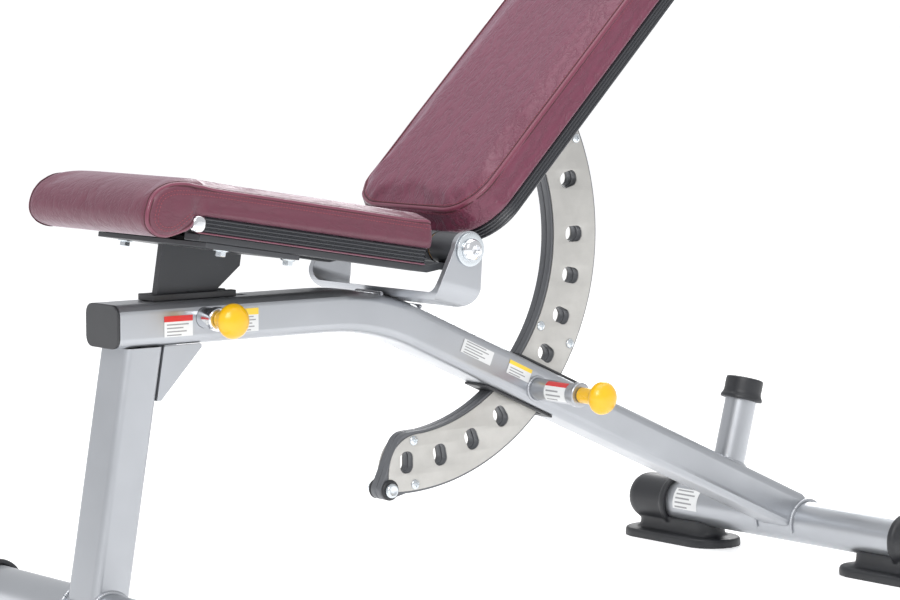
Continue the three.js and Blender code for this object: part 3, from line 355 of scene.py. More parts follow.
def joined(name: str, *parts: bpy.types.Object) -> bpy.types.Object:
    """Several finished meshes as one object."""
    shape = bmesh.new()
    graph = bpy.context.evaluated_depsgraph_get()
    for part in parts:
        graph.update()
        solid = part.evaluated_get(graph).to_mesh()
        shape.from_mesh(solid)
    mesh = bpy.data.meshes.new(name)
    shape.to_mesh(mesh)
    shape.free()
    for part in parts:
        bpy.data.objects.remove(part)
    made = bpy.data.objects.new(name, mesh)
    bpy.context.scene.collection.objects.link(made)
    return made


def applied(made: bpy.types.Object) -> bpy.types.Object:
    """Works a piece's modifiers into its mesh."""
    graph = bpy.context.evaluated_depsgraph_get()
    graph.update()
    mesh = bpy.data.meshes.new_from_object(made.evaluated_get(graph))
    made.modifiers.clear()
    made.data = mesh
    return made


def smooth(made: bpy.types.Object, degrees: float = 35.0, weighted: bool = False) -> bpy.types.Object:
    """Smooth shading that keeps edges sharper than the angle; optionally weighted by face area."""
    made.data.shade_smooth()
    made.data.set_sharp_from_angle(angle=math.radians(degrees))
    if weighted:
        evener = made.modifiers.new("weighted normals", "WEIGHTED_NORMAL")
        evener.keep_sharp = True
    return made


def refined(node: str, width: float, angle: float = 32.0, segments: int = 2) -> bpy.types.Object:
    """A copy of a CAD node with doubled points merged, flat areas dissolved and edges eased.

    Args:
        node: The CAD node.
        width: Size of the eased edge, in millimetres; 0 keeps the edges.
        angle: Degrees above which an edge is eased.
        segments: Steps across each eased edge.
    """
    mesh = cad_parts[node].data.copy()
    mesh.materials.clear()
    made = bpy.data.objects.new(node + "_finished", mesh)
    bpy.context.scene.collection.objects.link(made)
    shape = bmesh.new()
    shape.from_mesh(mesh)
    bmesh.ops.remove_doubles(shape, verts=shape.verts, dist=2e-6)
    bmesh.ops.dissolve_limit(shape, angle_limit=math.radians(0.4), verts=shape.verts, edges=shape.edges)
    shape.to_mesh(mesh)
    shape.free()
    if width > 0:
        easing = made.modifiers.new("eased edges", "BEVEL")
        easing.width, easing.segments = width * MM, segments
        easing.limit_method, easing.angle_limit = "ANGLE", math.radians(angle)
        easing.use_clamp_overlap = True
        easing.miter_outer = "MITER_ARC"
    return smooth(made, 38.0, weighted=True)


# ---- Shader groups -------------------------------------------------------------------------
class Graph:
    """Short calls for filling a node tree."""

    def __init__(self, tree: bpy.types.NodeTree) -> None:
        """Starts on an existing tree."""
        self.tree = tree

    def add(self, kind: str, inputs: dict | None = None, **settings: object) -> bpy.types.Node:
        """Adds a node; each input is a value or the socket that feeds it."""
        node = self.tree.nodes.new(kind)
        for key, value in settings.items():
            setattr(node, key, value)
        for key, value in (inputs or {}).items():
            if isinstance(value, bpy.types.NodeSocket):
                self.tree.links.new(value, node.inputs[key])
            else:
                node.inputs[key].default_value = value
        return node

    def math(
        self, operation: str, a: object, b: object = 0.0, c: object = 0.0, clamp: bool = False
    ) -> bpy.types.NodeSocket:
        """A Math node's result."""
        return self.add(
            "ShaderNodeMath", {0: a, 1: b, 2: c}, operation=operation, use_clamp=clamp
        ).outputs[0]

    def noise(
        self, vector: object, scale: object, detail: float = 3.0, roughness: float = 0.55
    ) -> bpy.types.NodeSocket:
        """A Noise texture's value."""
        node = self.add(
            "ShaderNodeTexNoise",
            {"Vector": vector, "Scale": scale, "Detail": detail, "Roughness": roughness}
        )
        return node.outputs["Fac"]

    def remap(
        self, value: object, low: float, high: float, to_low: object = 0.0, to_high: object = 1.0
    ) -> bpy.types.NodeSocket:
        """A clamped Map Range node's result."""
        keys = {"Value": value, "From Min": low, "From Max": high, "To Min": to_low, "To Max": to_high}
        return self.add("ShaderNodeMapRange", keys).outputs["Result"]

    def mix(self, share: object, a: object, b: object) -> bpy.types.NodeSocket:
        """A colour mix, 0 giving a and 1 giving b."""
        return self.add("ShaderNodeMix", {0: share, 6: a, 7: b}, data_type="RGBA").outputs[2]


def new_group(
    name: str, inputs: dict[str, str], outputs: dict[str, str]
) -> tuple[bpy.types.NodeTree, Graph, bpy.types.Node, bpy.types.Node]:
    """An empty shader group with named sockets, its graph, and its two end nodes."""
    tree = bpy.data.node_groups.new(name, "ShaderNodeTree")
    for direction, sockets in (("INPUT", inputs), ("OUTPUT", outputs)):
        for label, kind in sockets.items():
            tree.interface.new_socket(name=label, in_out=direction, socket_type=kind)
    graph = Graph(tree)
    return tree, graph, graph.add("NodeGroupInput"), graph.add("NodeGroupOutput")


FLOAT, VECTOR, RGBA = "NodeSocketFloat", "NodeSocketVector", "NodeSocketColor"


def tone_drift_group() -> bpy.types.NodeTree:
    """Slow drift of a colour's lightness, as in every real finish: value = 1 + amount (noise - half)."""
    tree, graph, ins, outs = new_group(
        "tone_drift", {"Vector": VECTOR, "Colour": RGBA, "Amount": FLOAT, "Scale": FLOAT}, {"Colour": RGBA})
    drift = graph.remap(
        graph.noise(ins.outputs["Vector"], ins.outputs["Scale"], 4.0), 0.3, 0.7, -1.0, 1.0
    )
    value = graph.math("MULTIPLY_ADD", drift, ins.outputs["Amount"], 1.0)
    toned = graph.add("ShaderNodeHueSaturation", {"Color": ins.outputs["Colour"], "Value": value})
    tree.links.new(toned.outputs["Color"], outs.inputs["Colour"])
    return tree


def stipple_group() -> bpy.types.NodeTree:
    """Fine relief of powder coat, rubber or moulded plastic: two noises, one four times finer."""
    tree, graph, ins, outs = new_group("stipple", {"Vector": VECTOR, "Scale": FLOAT}, {"Height": FLOAT})
    coarse = graph.noise(ins.outputs["Vector"], ins.outputs["Scale"], 2.0)
    finer = graph.math("MULTIPLY", ins.outputs["Scale"], 4.1)
    fine = graph.noise(ins.outputs["Vector"], finer, 2.0)
    tree.links.new(graph.math("MULTIPLY_ADD", fine, 0.35, coarse), outs.inputs["Height"])
    return tree


def scuff_group() -> bpy.types.NodeTree:
    """Thin handling marks: a stretched noise, kept only where it peaks, and broken up by a second one."""
    tree, graph, ins, outs = new_group("scuffs", {"Vector": VECTOR, "Scale": FLOAT}, {"Mask": FLOAT})
    stretch = graph.add(
        "ShaderNodeMapping",
        {"Vector": ins.outputs["Vector"], "Rotation": (0.4, 0.9, 0.2), "Scale": (1.0, 9.0, 2.5)}
    )
    lines = graph.remap(
        graph.noise(stretch.outputs["Vector"], ins.outputs["Scale"], 6.0, 0.7), 0.64, 0.72
    )
    patches = graph.remap(graph.noise(ins.outputs["Vector"], 11.0, 3.0), 0.5, 0.66)
    tree.links.new(graph.math("MULTIPLY", lines, patches), outs.inputs["Mask"])
    return tree


def hide_group() -> bpy.types.NodeTree:
    """Grained vinyl: small pebbles from a Voronoi texture, and long creases that run along the first axis."""
    tree, graph, ins, outs = new_group(
        "hide_grain", {"Vector": VECTOR, "Pebble Scale": FLOAT, "Crease Scale": FLOAT}, {"Height": FLOAT, "Crease": FLOAT})
    wobble = graph.add(
        "ShaderNodeTexNoise", {"Vector": ins.outputs["Vector"], "Scale": 40.0, "Detail": 2.0}
    )
    pull = graph.add(
        "ShaderNodeVectorMath", {0: wobble.outputs["Color"], 1: (0.012, 0.012, 0.012)},
        operation="MULTIPLY"
    )
    bent = graph.add(
        "ShaderNodeVectorMath", {0: ins.outputs["Vector"], 1: pull.outputs[0]}, operation="ADD"
    ).outputs[0]
    pebbles = graph.add(
        "ShaderNodeTexVoronoi", {"Vector": bent, "Scale": ins.outputs["Pebble Scale"]},
        feature="SMOOTH_F1"
    )
    stretched = graph.add(
        "ShaderNodeMapping", {"Vector": bent, "Scale": (0.42, 1.0, 1.0)}
    ).outputs["Vector"]
    wave = graph.noise(stretched, ins.outputs["Crease Scale"], 3.0, 0.62)
    fold = graph.math(
        "SUBTRACT", 1.0, graph.math("ABSOLUTE", graph.math("MULTIPLY_ADD", wave, 2.0, -1.0))
    )
    crease = graph.math("POWER", fold, 7.0)
    low = graph.math("MULTIPLY_ADD", pebbles.outputs["Distance"], -0.28, 0.3)
    tree.links.new(graph.math("MULTIPLY_ADD", crease, -0.75, low), outs.inputs["Height"])
    tree.links.new(crease, outs.inputs["Crease"])
    return tree


def brushed_group() -> bpy.types.NodeTree:
    """Brushed or rolled sheet: noise drawn out along the first axis, and slow clouds."""
    tree, graph, ins, outs = new_group(
        "brushed", {"Vector": VECTOR, "Scale": FLOAT}, {"Lines": FLOAT, "Clouds": FLOAT}
    )
    drawn = graph.add(
        "ShaderNodeMapping", {"Vector": ins.outputs["Vector"], "Scale": (0.05, 1.0, 1.0)}
    ).outputs["Vector"]
    tree.links.new(graph.noise(drawn, ins.outputs["Scale"], 4.0, 0.6), outs.inputs["Lines"])
    tree.links.new(graph.noise(ins.outputs["Vector"], 34.0, 5.0, 0.6), outs.inputs["Clouds"])
    return tree


def cloth_group() -> bpy.types.NodeTree:
    """Woven backing cloth: height = max of two crossed rows of threads."""
    tree, graph, ins, outs = new_group(
        "backing_weave", {"Vector": VECTOR, "Scale": FLOAT}, {"Height": FLOAT}
    )
    rows = [
        graph.add("ShaderNodeTexWave", {"Vector": ins.outputs["Vector"], "Scale": ins.outputs["Scale"], "Distortion": 0.6, "Detail": 1.0},
                  wave_type="BANDS", bands_direction=way).outputs["Fac"]
        for way in ("X", "Y")
    ]
    tree.links.new(graph.math("MAXIMUM", *rows), outs.inputs["Height"])
    return tree


def sheet_print_group() -> bpy.types.NodeTree:
    """A plain sticker: a coloured band along its top, and grey bars of uneven length below it."""
    tree, graph, ins, outs = new_group(
        "sticker_print", {"UV": VECTOR, "Paper": RGBA, "Band": RGBA, "Band Foot": FLOAT, "Rows": FLOAT}, {"Colour": RGBA})
    split = graph.add("ShaderNodeSeparateXYZ", {0: ins.outputs["UV"]})
    across, up = split.outputs[0], split.outputs[1]
    rows = graph.math("MULTIPLY", up, ins.outputs["Rows"])
    in_row = graph.math("FRACT", rows)
    number = graph.math("FLOOR", rows)
    length = graph.math(
        "MULTIPLY_ADD", graph.math("FRACT", graph.math("MULTIPLY", number, 0.618)), 0.3, 0.6
    )
    wide = graph.math(
        "MULTIPLY", graph.math("GREATER_THAN", across, 0.09), graph.math("LESS_THAN", across, length)
    )
    tall = graph.math(
        "MULTIPLY", graph.math("GREATER_THAN", in_row, 0.3), graph.math("LESS_THAN", in_row, 0.68)
    )
    below = graph.math("LESS_THAN", up, graph.math("SUBTRACT", ins.outputs["Band Foot"], 0.06))
    bars = graph.math("MULTIPLY", graph.math("MULTIPLY", wide, tall), below)
    printed = graph.mix(graph.math("MULTIPLY", bars, 0.72), ins.outputs["Paper"], (0.12, 0.12, 0.13, 1))
    banded = graph.mix(
        graph.math("GREATER_THAN", up, ins.outputs["Band Foot"]), printed, ins.outputs["Band"]
    )
    tree.links.new(banded, outs.inputs["Colour"])
    return tree


GROUPS = {
    "tone_drift": tone_drift_group, "stipple": stipple_group, "scuffs": scuff_group, "hide_grain": hide_group,
    "brushed": brushed_group, "backing_weave": cloth_group, "sticker_print": sheet_print_group,
}


# ---- Finishes ------------------------------------------------------------------------------
@dataclass(frozen=True)
class Finish:
    """A surface finish and the record's slot it stands for.

    Attributes:
        name: The material's name.
        slot: The record's material slot; not used.
        colour: Base colour, linear.
        roughness: Middle roughness.
        metallic: 0 for paint, rubber and vinyl, 1 for bare metal.
        drift: Share by which the lightness drifts.
        relief: Depth of the fine relief, in millimetres.
        grain: Relief features per metre.
        coat: Weight of a clear coat.
        coat_roughness: Roughness of that coat.
    """

    name: str
    slot: str
    colour: Colour
    roughness: float
    metallic: float = 0.0
    drift: float = 0.06
    relief: float = 0.02
    grain: float = 900.0
    coat: float = 0.0
    coat_roughness: float = 0.2

    def group(self, graph: Graph, kind: str, inputs: dict) -> bpy.types.Node:
        """A group node of one kind, made once and shared."""
        tree = bpy.data.node_groups.get(kind) or GROUPS[kind]()
        return graph.add("ShaderNodeGroup", inputs, node_tree=tree)

    def position(self, graph: Graph) -> bpy.types.NodeSocket:
        """Where a point lies on the bench, in metres."""
        return graph.add("ShaderNodeTexCoord").outputs["Object"]

    def toned(self, graph: Graph, position: bpy.types.NodeSocket) -> bpy.types.NodeSocket:
        """The base colour with its slow drift."""
        return self.group(graph, "tone_drift", {
            "Vector": position, "Colour": (*self.colour, 1), "Amount": self.drift, "Scale": 7.0}).outputs["Colour"]

    def surface(self, graph: Graph, position: bpy.types.NodeSocket) -> tuple[object, object, object]:
        """Colour, roughness and height: drift, fine stipple and a few scuffs."""
        scuffs = self.group(graph, "scuffs", {"Vector": position, "Scale": 26.0}).outputs["Mask"]
        colour = graph.mix(
            graph.math("MULTIPLY", scuffs, 0.1), self.toned(graph, position), (0.62, 0.62, 0.62, 1)
        )
        height = self.group(
            graph, "stipple", {"Vector": position, "Scale": self.grain}
        ).outputs["Height"]
        clouds = graph.noise(position, 18.0, 3.0)
        rough = graph.remap(clouds, 0.3, 0.7, max(self.roughness - 0.05, 0.02), self.roughness + 0.06)
        return colour, graph.math("MULTIPLY_ADD", scuffs, 0.06, rough), height

    def material(self) -> bpy.types.Material:
        """The material, made once."""
        made = bpy.data.materials.get(self.name)
        if made:
            return made
        made = bpy.data.materials.new(self.name)
        made.use_nodes = True
        made.node_tree.nodes.clear()
        graph = Graph(made.node_tree)
        colour, rough, height = self.surface(graph, self.position(graph))
        bump = graph.add(
            "ShaderNodeBump", {"Height": height, "Strength": 1.0, "Distance": self.relief * MM}
        )
        shader = graph.add("ShaderNodeBsdfPrincipled", {
            "Base Color": colour, "Roughness": rough, "Metallic": self.metallic, "Normal": bump.outputs["Normal"],
            "Coat Weight": self.coat, "Coat Roughness": self.coat_roughness})
        self.tune(shader)
        graph.add("ShaderNodeOutputMaterial", {"Surface": shader.outputs["BSDF"]})
        return made

    def tune(self, shader: bpy.types.Node) -> None:
        """Sets whatever else a finish needs on its shader."""


@dataclass(frozen=True)
class Plated(Finish):
    """Chrome or zinc plate: bright metal with faint smears."""

    def surface(self, graph: Graph, position: bpy.types.NodeSocket) -> tuple[object, object, object]:
        """Colour, roughness and height, with smears that dull the plate a little."""
        smears = graph.remap(graph.noise(position, 60.0, 5.0, 0.65), 0.42, 0.68)
        rough = graph.math("MULTIPLY_ADD", smears, 0.1, self.roughness)
        height = self.group(
            graph, "stipple", {"Vector": position, "Scale": self.grain}
        ).outputs["Height"]
        return self.toned(graph, position), rough, height


@dataclass(frozen=True)
class Sheet(Finish):
    """Satin sheet metal with a mottled face and faint drawn lines."""

    def surface(self, graph: Graph, position: bpy.types.NodeSocket) -> tuple[object, object, object]:
        """Colour, roughness and height from the brushed lines and the clouds."""
        brushed = self.group(graph, "brushed", {"Vector": position, "Scale": 700.0})
        clouds = graph.remap(brushed.outputs["Clouds"], 0.35, 0.65)
        dark = tuple(0.86 * c for c in self.colour)
        colour = graph.mix(graph.math("MULTIPLY", clouds, 0.6), self.toned(graph, position), (*dark, 1))
        rough = graph.math("MULTIPLY_ADD", brushed.outputs["Lines"], 0.16, self.roughness - 0.06)
        return colour, graph.math("MULTIPLY_ADD", clouds, 0.05, rough), brushed.outputs["Lines"]


@dataclass(frozen=True)
class Vinyl(Finish):
    """Grained upholstery vinyl, its creases running along the pad.

    Attributes:
        turn: Degrees that the pad rises above level.
        crease: Strength of the painted shade and the dullness in the long creases, from 0 to 1.
    """

    turn: float = 0.0
    crease: float = 1.0

    def position(self, graph: Graph) -> bpy.types.NodeSocket:
        """Object coordinates turned so that the first axis runs along the pad."""
        point = graph.add("ShaderNodeTexCoord").outputs["Object"]
        turn = graph.add(
            "ShaderNodeMapping", {"Vector": point, "Rotation": (0.0, math.radians(self.turn), 0.0)}
        )
        return turn.outputs["Vector"]

    def surface(self, graph: Graph, position: bpy.types.NodeSocket) -> tuple[object, object, object]:
        """Colour, roughness and height: painted shade darkens the creases, which are also duller."""
        grain = self.group(
            graph, "hide_grain", {"Vector": position, "Pebble Scale": 560.0, "Crease Scale": 62.0}
        )
        # Painted shade: the creases are mixed towards a darker copy of the colour.
        crease = graph.math("MULTIPLY", grain.outputs["Crease"], 0.34 * self.crease)
        painted_shade_colour = tuple(0.55 * c for c in self.colour)
        colour = graph.mix(crease, self.toned(graph, position), (*painted_shade_colour, 1))
        rough = graph.math("MULTIPLY_ADD", grain.outputs["Crease"], 0.12 * self.crease, self.roughness)
        return colour, rough, grain.outputs["Height"]

    def tune(self, shader: bpy.types.Node) -> None:
        """A soft sheen lifts the face where it turns away."""
        shader.inputs["Sheen Weight"].default_value = 0.22
        shader.inputs["Sheen Roughness"].default_value = 0.4
        shader.inputs["Sheen Tint"].default_value = (0.9, 0.8, 0.95, 1)


@dataclass(frozen=True)
class BackingCloth(Finish):
    """Dark woven cloth stapled under a board."""

    def surface(self, graph: Graph, position: bpy.types.NodeSocket) -> tuple[object, object, object]:
        """Colour, roughness and height from the weave, with painted shade in the hollows between threads."""
        weave = self.group(
            graph, "backing_weave", {"Vector": position, "Scale": 240.0}
        ).outputs["Height"]
        # Painted shade: the weave's low spots take a darker copy of the colour.
        painted_shade_colour = tuple(0.5 * c for c in self.colour)
        return graph.mix(weave, (*painted_shade_colour, 1), self.toned(graph, position)), self.roughness, weave


class Band(enum.Enum):
    """Colour of a sticker's heading band."""

    RED = (0.62, 0.03, 0.03)
    YELLOW = (0.9, 0.62, 0.05)
    NONE = (0.74, 0.75, 0.75)


@dataclass(frozen=True)
class Sticker(Finish):
    """A plain printed sticker, patterned on its own UV map.

    Attributes:
        band: The heading band's colour.
        rows: Printed bars over the sticker's height.
    """

    band: Band = Band.NONE
    rows: float = 7.0

    def surface(self, graph: Graph, position: bpy.types.NodeSocket) -> tuple[object, object, object]:
        """Colour from the print; roughness and height stay fine and even."""
        where = graph.add("ShaderNodeUVMap", uv_map="print").outputs["UV"]
        printed = self.group(graph, "sticker_print", {
            "UV": where, "Paper": self.toned(graph, position), "Band": (*self.band.value, 1),
            "Band Foot": 2.0 if self.band is Band.NONE else 0.72, "Rows": self.rows}).outputs["Colour"]
        height = self.group(
            graph, "stipple", {"Vector": position, "Scale": self.grain}
        ).outputs["Height"]
        return printed, self.roughness, height


SILVER = Finish(
    "silver powder coat", "silver_paint", (0.43, 0.445, 0.47), 0.33, 0.8, 0.04, 0.016, 1500.0, 0.2, 0.2
)
CHARCOAL = Finish(
    "charcoal powder coat", "charcoal_paint", (0.055, 0.058, 0.064), 0.46, 0.1, 0.08, 0.03, 1300.0
)
CORE_GREY = Finish(
    "graphite coat", "charcoal_paint", (0.13, 0.135, 0.145), 0.4, 0.3, 0.06, 0.02, 1300.0
)
STAINLESS = Sheet(
    "satin stainless sheet", "stainless_plate", (0.54, 0.53, 0.505), 0.42, 0.55, 0.03, 0.008, 900.0
)
CHROME = Plated("bright plate", "chrome", (0.80, 0.81, 0.83), 0.1, 1.0, 0.03, 0.003, 500.0)
ZINC = Plated("zinc plate", "chrome", (0.66, 0.70, 0.73), 0.24, 1.0, 0.06, 0.006, 900.0)
SPRING = Plated("spring wire", "spring_steel", (0.33, 0.34, 0.36), 0.3, 1.0, 0.05, 0.004, 900.0)
BRONZE = Plated("sintered bronze", "bronze", (0.50, 0.30, 0.13), 0.38, 0.9, 0.08, 0.01, 1600.0)
RUBBER = Finish("black rubber", "black_rubber", (0.019, 0.020, 0.023), 0.44, 0.0, 0.15, 0.05, 700.0)
NYLON = Finish("black nylon", "black_plastic", (0.03, 0.031, 0.034), 0.42, 0.0, 0.1, 0.02, 900.0)
YELLOW = Finish(
    "yellow moulded plastic", "yellow_plastic", (0.80, 0.45, 0.004), 0.3, 0.0, 0.02, 0.006, 500.0, 0.35,
    0.12
)
VINYL_BACK = Vinyl(
    "back vinyl", "burgundy_vinyl", (0.150, 0.031, 0.062), 0.42, 0.0, 0.05, 0.9, 600.0, 0.12, 0.35,
    BACK_ANGLE, 1.0
)
# The seat takes a darker copy of the backrest's burgundy vinyl: painted shade on the seat.
VINYL_SEAT_SHADED = Vinyl(
    "seat vinyl", "burgundy_vinyl", (0.120, 0.027, 0.048), 0.42, 0.0, 0.05, 0.5, 600.0, 0.12, 0.35,
    SEAT_ANGLE, 0.6
)
# A lighter, glossier copy of the burgundy vinyl for the edge rolls and the tucked strip: the lighter colour is a
# painted highlight.
PIPING_HIGHLIGHT = Vinyl(
    "piping vinyl", "burgundy_vinyl", (0.165, 0.033, 0.062), 0.34, 0.0, 0.05, 0.1, 600.0, 0.3, 0.25,
    BACK_ANGLE, 0.2
)
THREAD = Finish("seam thread", "burgundy_vinyl", (0.24, 0.045, 0.065), 0.5, 0.0, 0.05, 0.05, 2500.0)
# Near-black vinyl for thin cords beside the edge rolls: painted shadow along the seams.
SEAM_SHADOW = Finish(
    "painted seam shadow vinyl", "burgundy_vinyl", (0.060, 0.010, 0.017), 0.6, 0.0, 0.05, 0.05, 1500.0
)
TRIM = Finish(
    "ribbed trim vinyl", "edge_trim", (0.022, 0.024, 0.029), 0.26, 0.0, 0.08, 0.01, 700.0, 0.3, 0.2
)
BACKING = BackingCloth("backing cloth", "plywood", (0.035, 0.034, 0.036), 0.85, 0.0, 0.12, 0.12, 240.0)
PAPER = (0.74, 0.75, 0.75)


def fit_out(made: bpy.types.Object, finish: Finish, body: str, *nodes: str) -> bpy.types.Object:
    """Gives a finished piece its material and body, and hides the CAD nodes it stands for.

    Args:
        made: The piece.
        finish: Its finish.
        body: The CAD body that it moves with.
        *nodes: CAD nodes that it replaces.
    """
    made.data.materials.clear()
    made.data.materials.append(finish.material())
    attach(made, body)
    if nodes:
        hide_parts(*nodes)
    log.info("%s: %s, %d faces", made.name, finish.name, len(made.data.polygons))
    return made


# ---- Frame ---------------------------------------------------------------------------------
@dataclass
class BeamFrame:
    """The bent beam, its leg, gusset, feet and bracket, with their welds."""

    foot_radius: float = 28.5
    foot_wall: float = 3.0
    foot_height: float = -404.0
    rear_foot: float = 661.0
    front_foot: float = -440.0
    boot_radius: float = 33.0
    boot_inner: float = 213.0
    boot_tip: float = 298.0
    pad_middle: float = 210.0
    floor: float = -458.0
    post_top: tuple[float, float] = (578.0, -206.0)
    post_lean: float = 15.0
    body: str = "frame"

    def build(self) -> None:
        """Makes every piece of the frame."""
        eased = {
            "main_beam": 0.0, "front_leg": 0.5, "front_gusset": 0.8, "hinge_bracket": 1.0,
            "rest_post": 0.4
        }
        for node, width in eased.items():
            fit_out(refined(node, width), SILVER, self.body, node)
        for node in ("beam_end_cap", "arc_guide_top", "arc_guide_bottom", "seat_plate_guide"):
            fit_out(refined(node, 0.8), NYLON, self.body, node)
        for end, x in (("front", self.front_foot), ("rear", self.rear_foot)):
            self.foot_tube(end, x)
            for side, sign in (("near", -1), ("far", 1)):
                self.boot(end, side, x, sign)
        self.post_cap()
        self.welds()

    def foot_tube(self, end: str, x: float) -> None:
        """A foot tube: an annular section turned round its own axis."""
        half, outer, inner = 286.0, self.foot_radius, self.foot_radius - self.foot_wall
        profile = [(outer, -half), (outer, half), (inner, half), (inner, -half)]
        tube = turned(
            f"{end}_foot_bar", profile, (x, 0, self.foot_height), sides=96, soften=0.6, ring=True
        )
        fit_out(smooth(tube), SILVER, self.body, f"{end}_foot_tube")

    def boot(self, end: str, side: str, x: float, sign: int) -> None:
        """A rubber boot: a domed sleeve with a lip, on a long oval pad, melted into one skin."""
        r = self.boot_radius
        sleeve = [
            (0, self.boot_tip), (r * 0.5, self.boot_tip - 1), (
                r * 0.84, self.boot_tip - 6
            ), (r, self.boot_tip - 17),
            (r, self.boot_inner + 9), (
                r + 2.8, self.boot_inner + 8
            ), (r + 2.8, self.boot_inner), (r - 4, self.boot_inner),
            (r - 4.2, self.boot_inner + 30), (0, self.boot_inner + 32),
        ]
        dome = turned(
            "dome", [(a, sign * b) for a, b in sleeve], (x, 0, self.foot_height), sides=64, soften=5.0
        )
        layers = [
            (0.0, 84, 196), (1.2, 84, 196), (9.0, 83, 195), (11.4, 80, 192), (12.4, 72, 184),
            (13.0, 52, 160), (15.5, 46, 152), (22.0, 44, 150), (34.0, 43, 148)
        ]
        grid = np.stack([
            np.column_stack(
                [
                    resampled(
                        round_rectangle(
                            x - w / 2, x + w / 2, sign * self.pad_middle - n / 2,
                            sign * self.pad_middle + n / 2, w / 2 - 1
                        ),
                        120, True
                    ),
                    np.full(120, self.floor + h)
                ]
            )
            for h, w, n in layers
        ])
        pad = skin("pad", LEVEL.metres(grid))
        bore = turned(
            "bore",
            [
                (0, 60 * sign), (self.foot_radius + 0.6, 60 * sign),
                (self.foot_radius + 0.6, 286.5 * sign), (0, 286.5 * sign)
            ],
            (x, 0, self.foot_height), sides=64
        )
        made = joined(f"{end}_boot_{side}_moulding", dome, pad)
        melt = made.modifiers.new("one skin", "REMESH")
        melt.mode, melt.voxel_size = "VOXEL", 1.9 * MM
        evener = made.modifiers.new("soft edges", "SMOOTH")
        evener.factor, evener.iterations = 0.5, 4
        applied(made)
        cutter = made.modifiers.new("bore", "BOOLEAN")
        cutter.operation, cutter.solver, cutter.object = "DIFFERENCE", "EXACT", bore
        applied(made)
        bpy.data.objects.remove(bore)
        points = coordinates(made.data)
        points[:, 2] = np.maximum(points[:, 2], hinge_axis()[2] + self.floor * MM)
        set_coordinates(made.data, points)
        fit_out(smooth(made, 50), RUBBER, self.body, f"{end}_boot_{side}")

    def post_cap(self) -> None:
        """The post's rubber cap: a closed cup with a flared skirt, leaning with the post."""
        lean = Place(-self.post_lean, (self.post_top[0], 0.0, self.post_top[1]))
        profile = [
            (0, 0), (20, 0), (24.6, -1.4), (25, -6), (25, -20), (26, -23), (28, -26), (28, -29.4),
            (26, -30), (21.4, -30), (21.4, -4.2), (0, -4.2)
        ]
        cap = turned("rest_post_cup", profile, (0, 0, 0), lean, axis="w", soften=2.0)
        fit_out(smooth(cap), RUBBER, self.body, "rest_post_cap")

    def welds(self) -> None:
        """Weld beads where the tubes and the bracket meet."""
        saddle = Place(-16.0)
        beads = []
        for u, drop in ((31.0, 2.3), (-31.0, 0.6)):
            row = np.array([[u, y, -67.6 - drop] for y in np.linspace(-27, 27, 12)])
            beads.append(bead(f"saddle_{u:.0f}", row @ saddle.axes(), 2.6))
        for y in (-33.6, 33.6):
            angles = np.linspace(40, 205, 30)
            arc = polar(self.foot_radius + 1.2, angles)
            beads.append(
                bead(
                    f"rear_{y:.0f}",
                    np.column_stack(
                        [self.rear_foot + arc[:, 0], np.full(30, y), self.foot_height + arc[:, 1]]
                    ),
                    2.3
                )
            )
            arc = polar(self.foot_radius + 1.2, np.linspace(-2, 182, 30))
            beads.append(
                bead(
                    f"front_{y:.0f}",
                    np.column_stack(
                        [
                            self.front_foot + arc[:, 0], np.full(30, y * 0.92),
                            self.foot_height + arc[:, 1]
                        ]
                    ),
                    2.3
                )
            )
        ring = polar(14.6, np.linspace(0, 360, 40, endpoint=False))
        pin = polar(266.7, -45.0)
        beads.append(
            bead(
                "barrel",
                np.column_stack([pin[0] + ring[:, 0], np.full(40, -33.6), pin[1] + ring[:, 1]]), 1.8,
                closed=True
            )
        )
        lean, slope = math.radians(self.post_lean), math.radians(BEAM_SLOPE)
        turn = np.linspace(0, 2 * np.pi, 50, endpoint=False)
        along, across = np.array([math.cos(slope), 0, -math.sin(slope)]), np.array([0, 1.0, 0])
        stretch = 22.0 / math.cos(slope - lean)
        oval = stretch * np.cos(turn)[:, None] * along + 22.0 * np.sin(turn)[:, None] * across
        low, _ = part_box("rest_post")
        log.debug("lowest corner of the rest post: %s", low)
        beads.append(bead("post", oval + self.post_foot(), 2.2, closed=True))
        fit_out(smooth(joined("weld_beads", *beads), 60), SILVER, self.body)

    def post_foot(self) -> Array:
        """Where the post's axis meets the beam's sloping top face, in millimetres from the hinge."""
        lean, slope = math.radians(self.post_lean), math.radians(BEAM_SLOPE)
        bend_x, bend_z = -126 + 328 * math.sin(slope), -402 + 328 * math.cos(slope)
        x0, z0 = self.post_top
        gap = z0 - (bend_z - (x0 - bend_x) * math.tan(slope) + 25 / math.cos(slope))
        tall = gap / (math.cos(lean) + math.sin(lean) * math.tan(slope))
        return np.array([x0 - tall * math.sin(lean), 0.0, z0 - tall * math.cos(lean)])


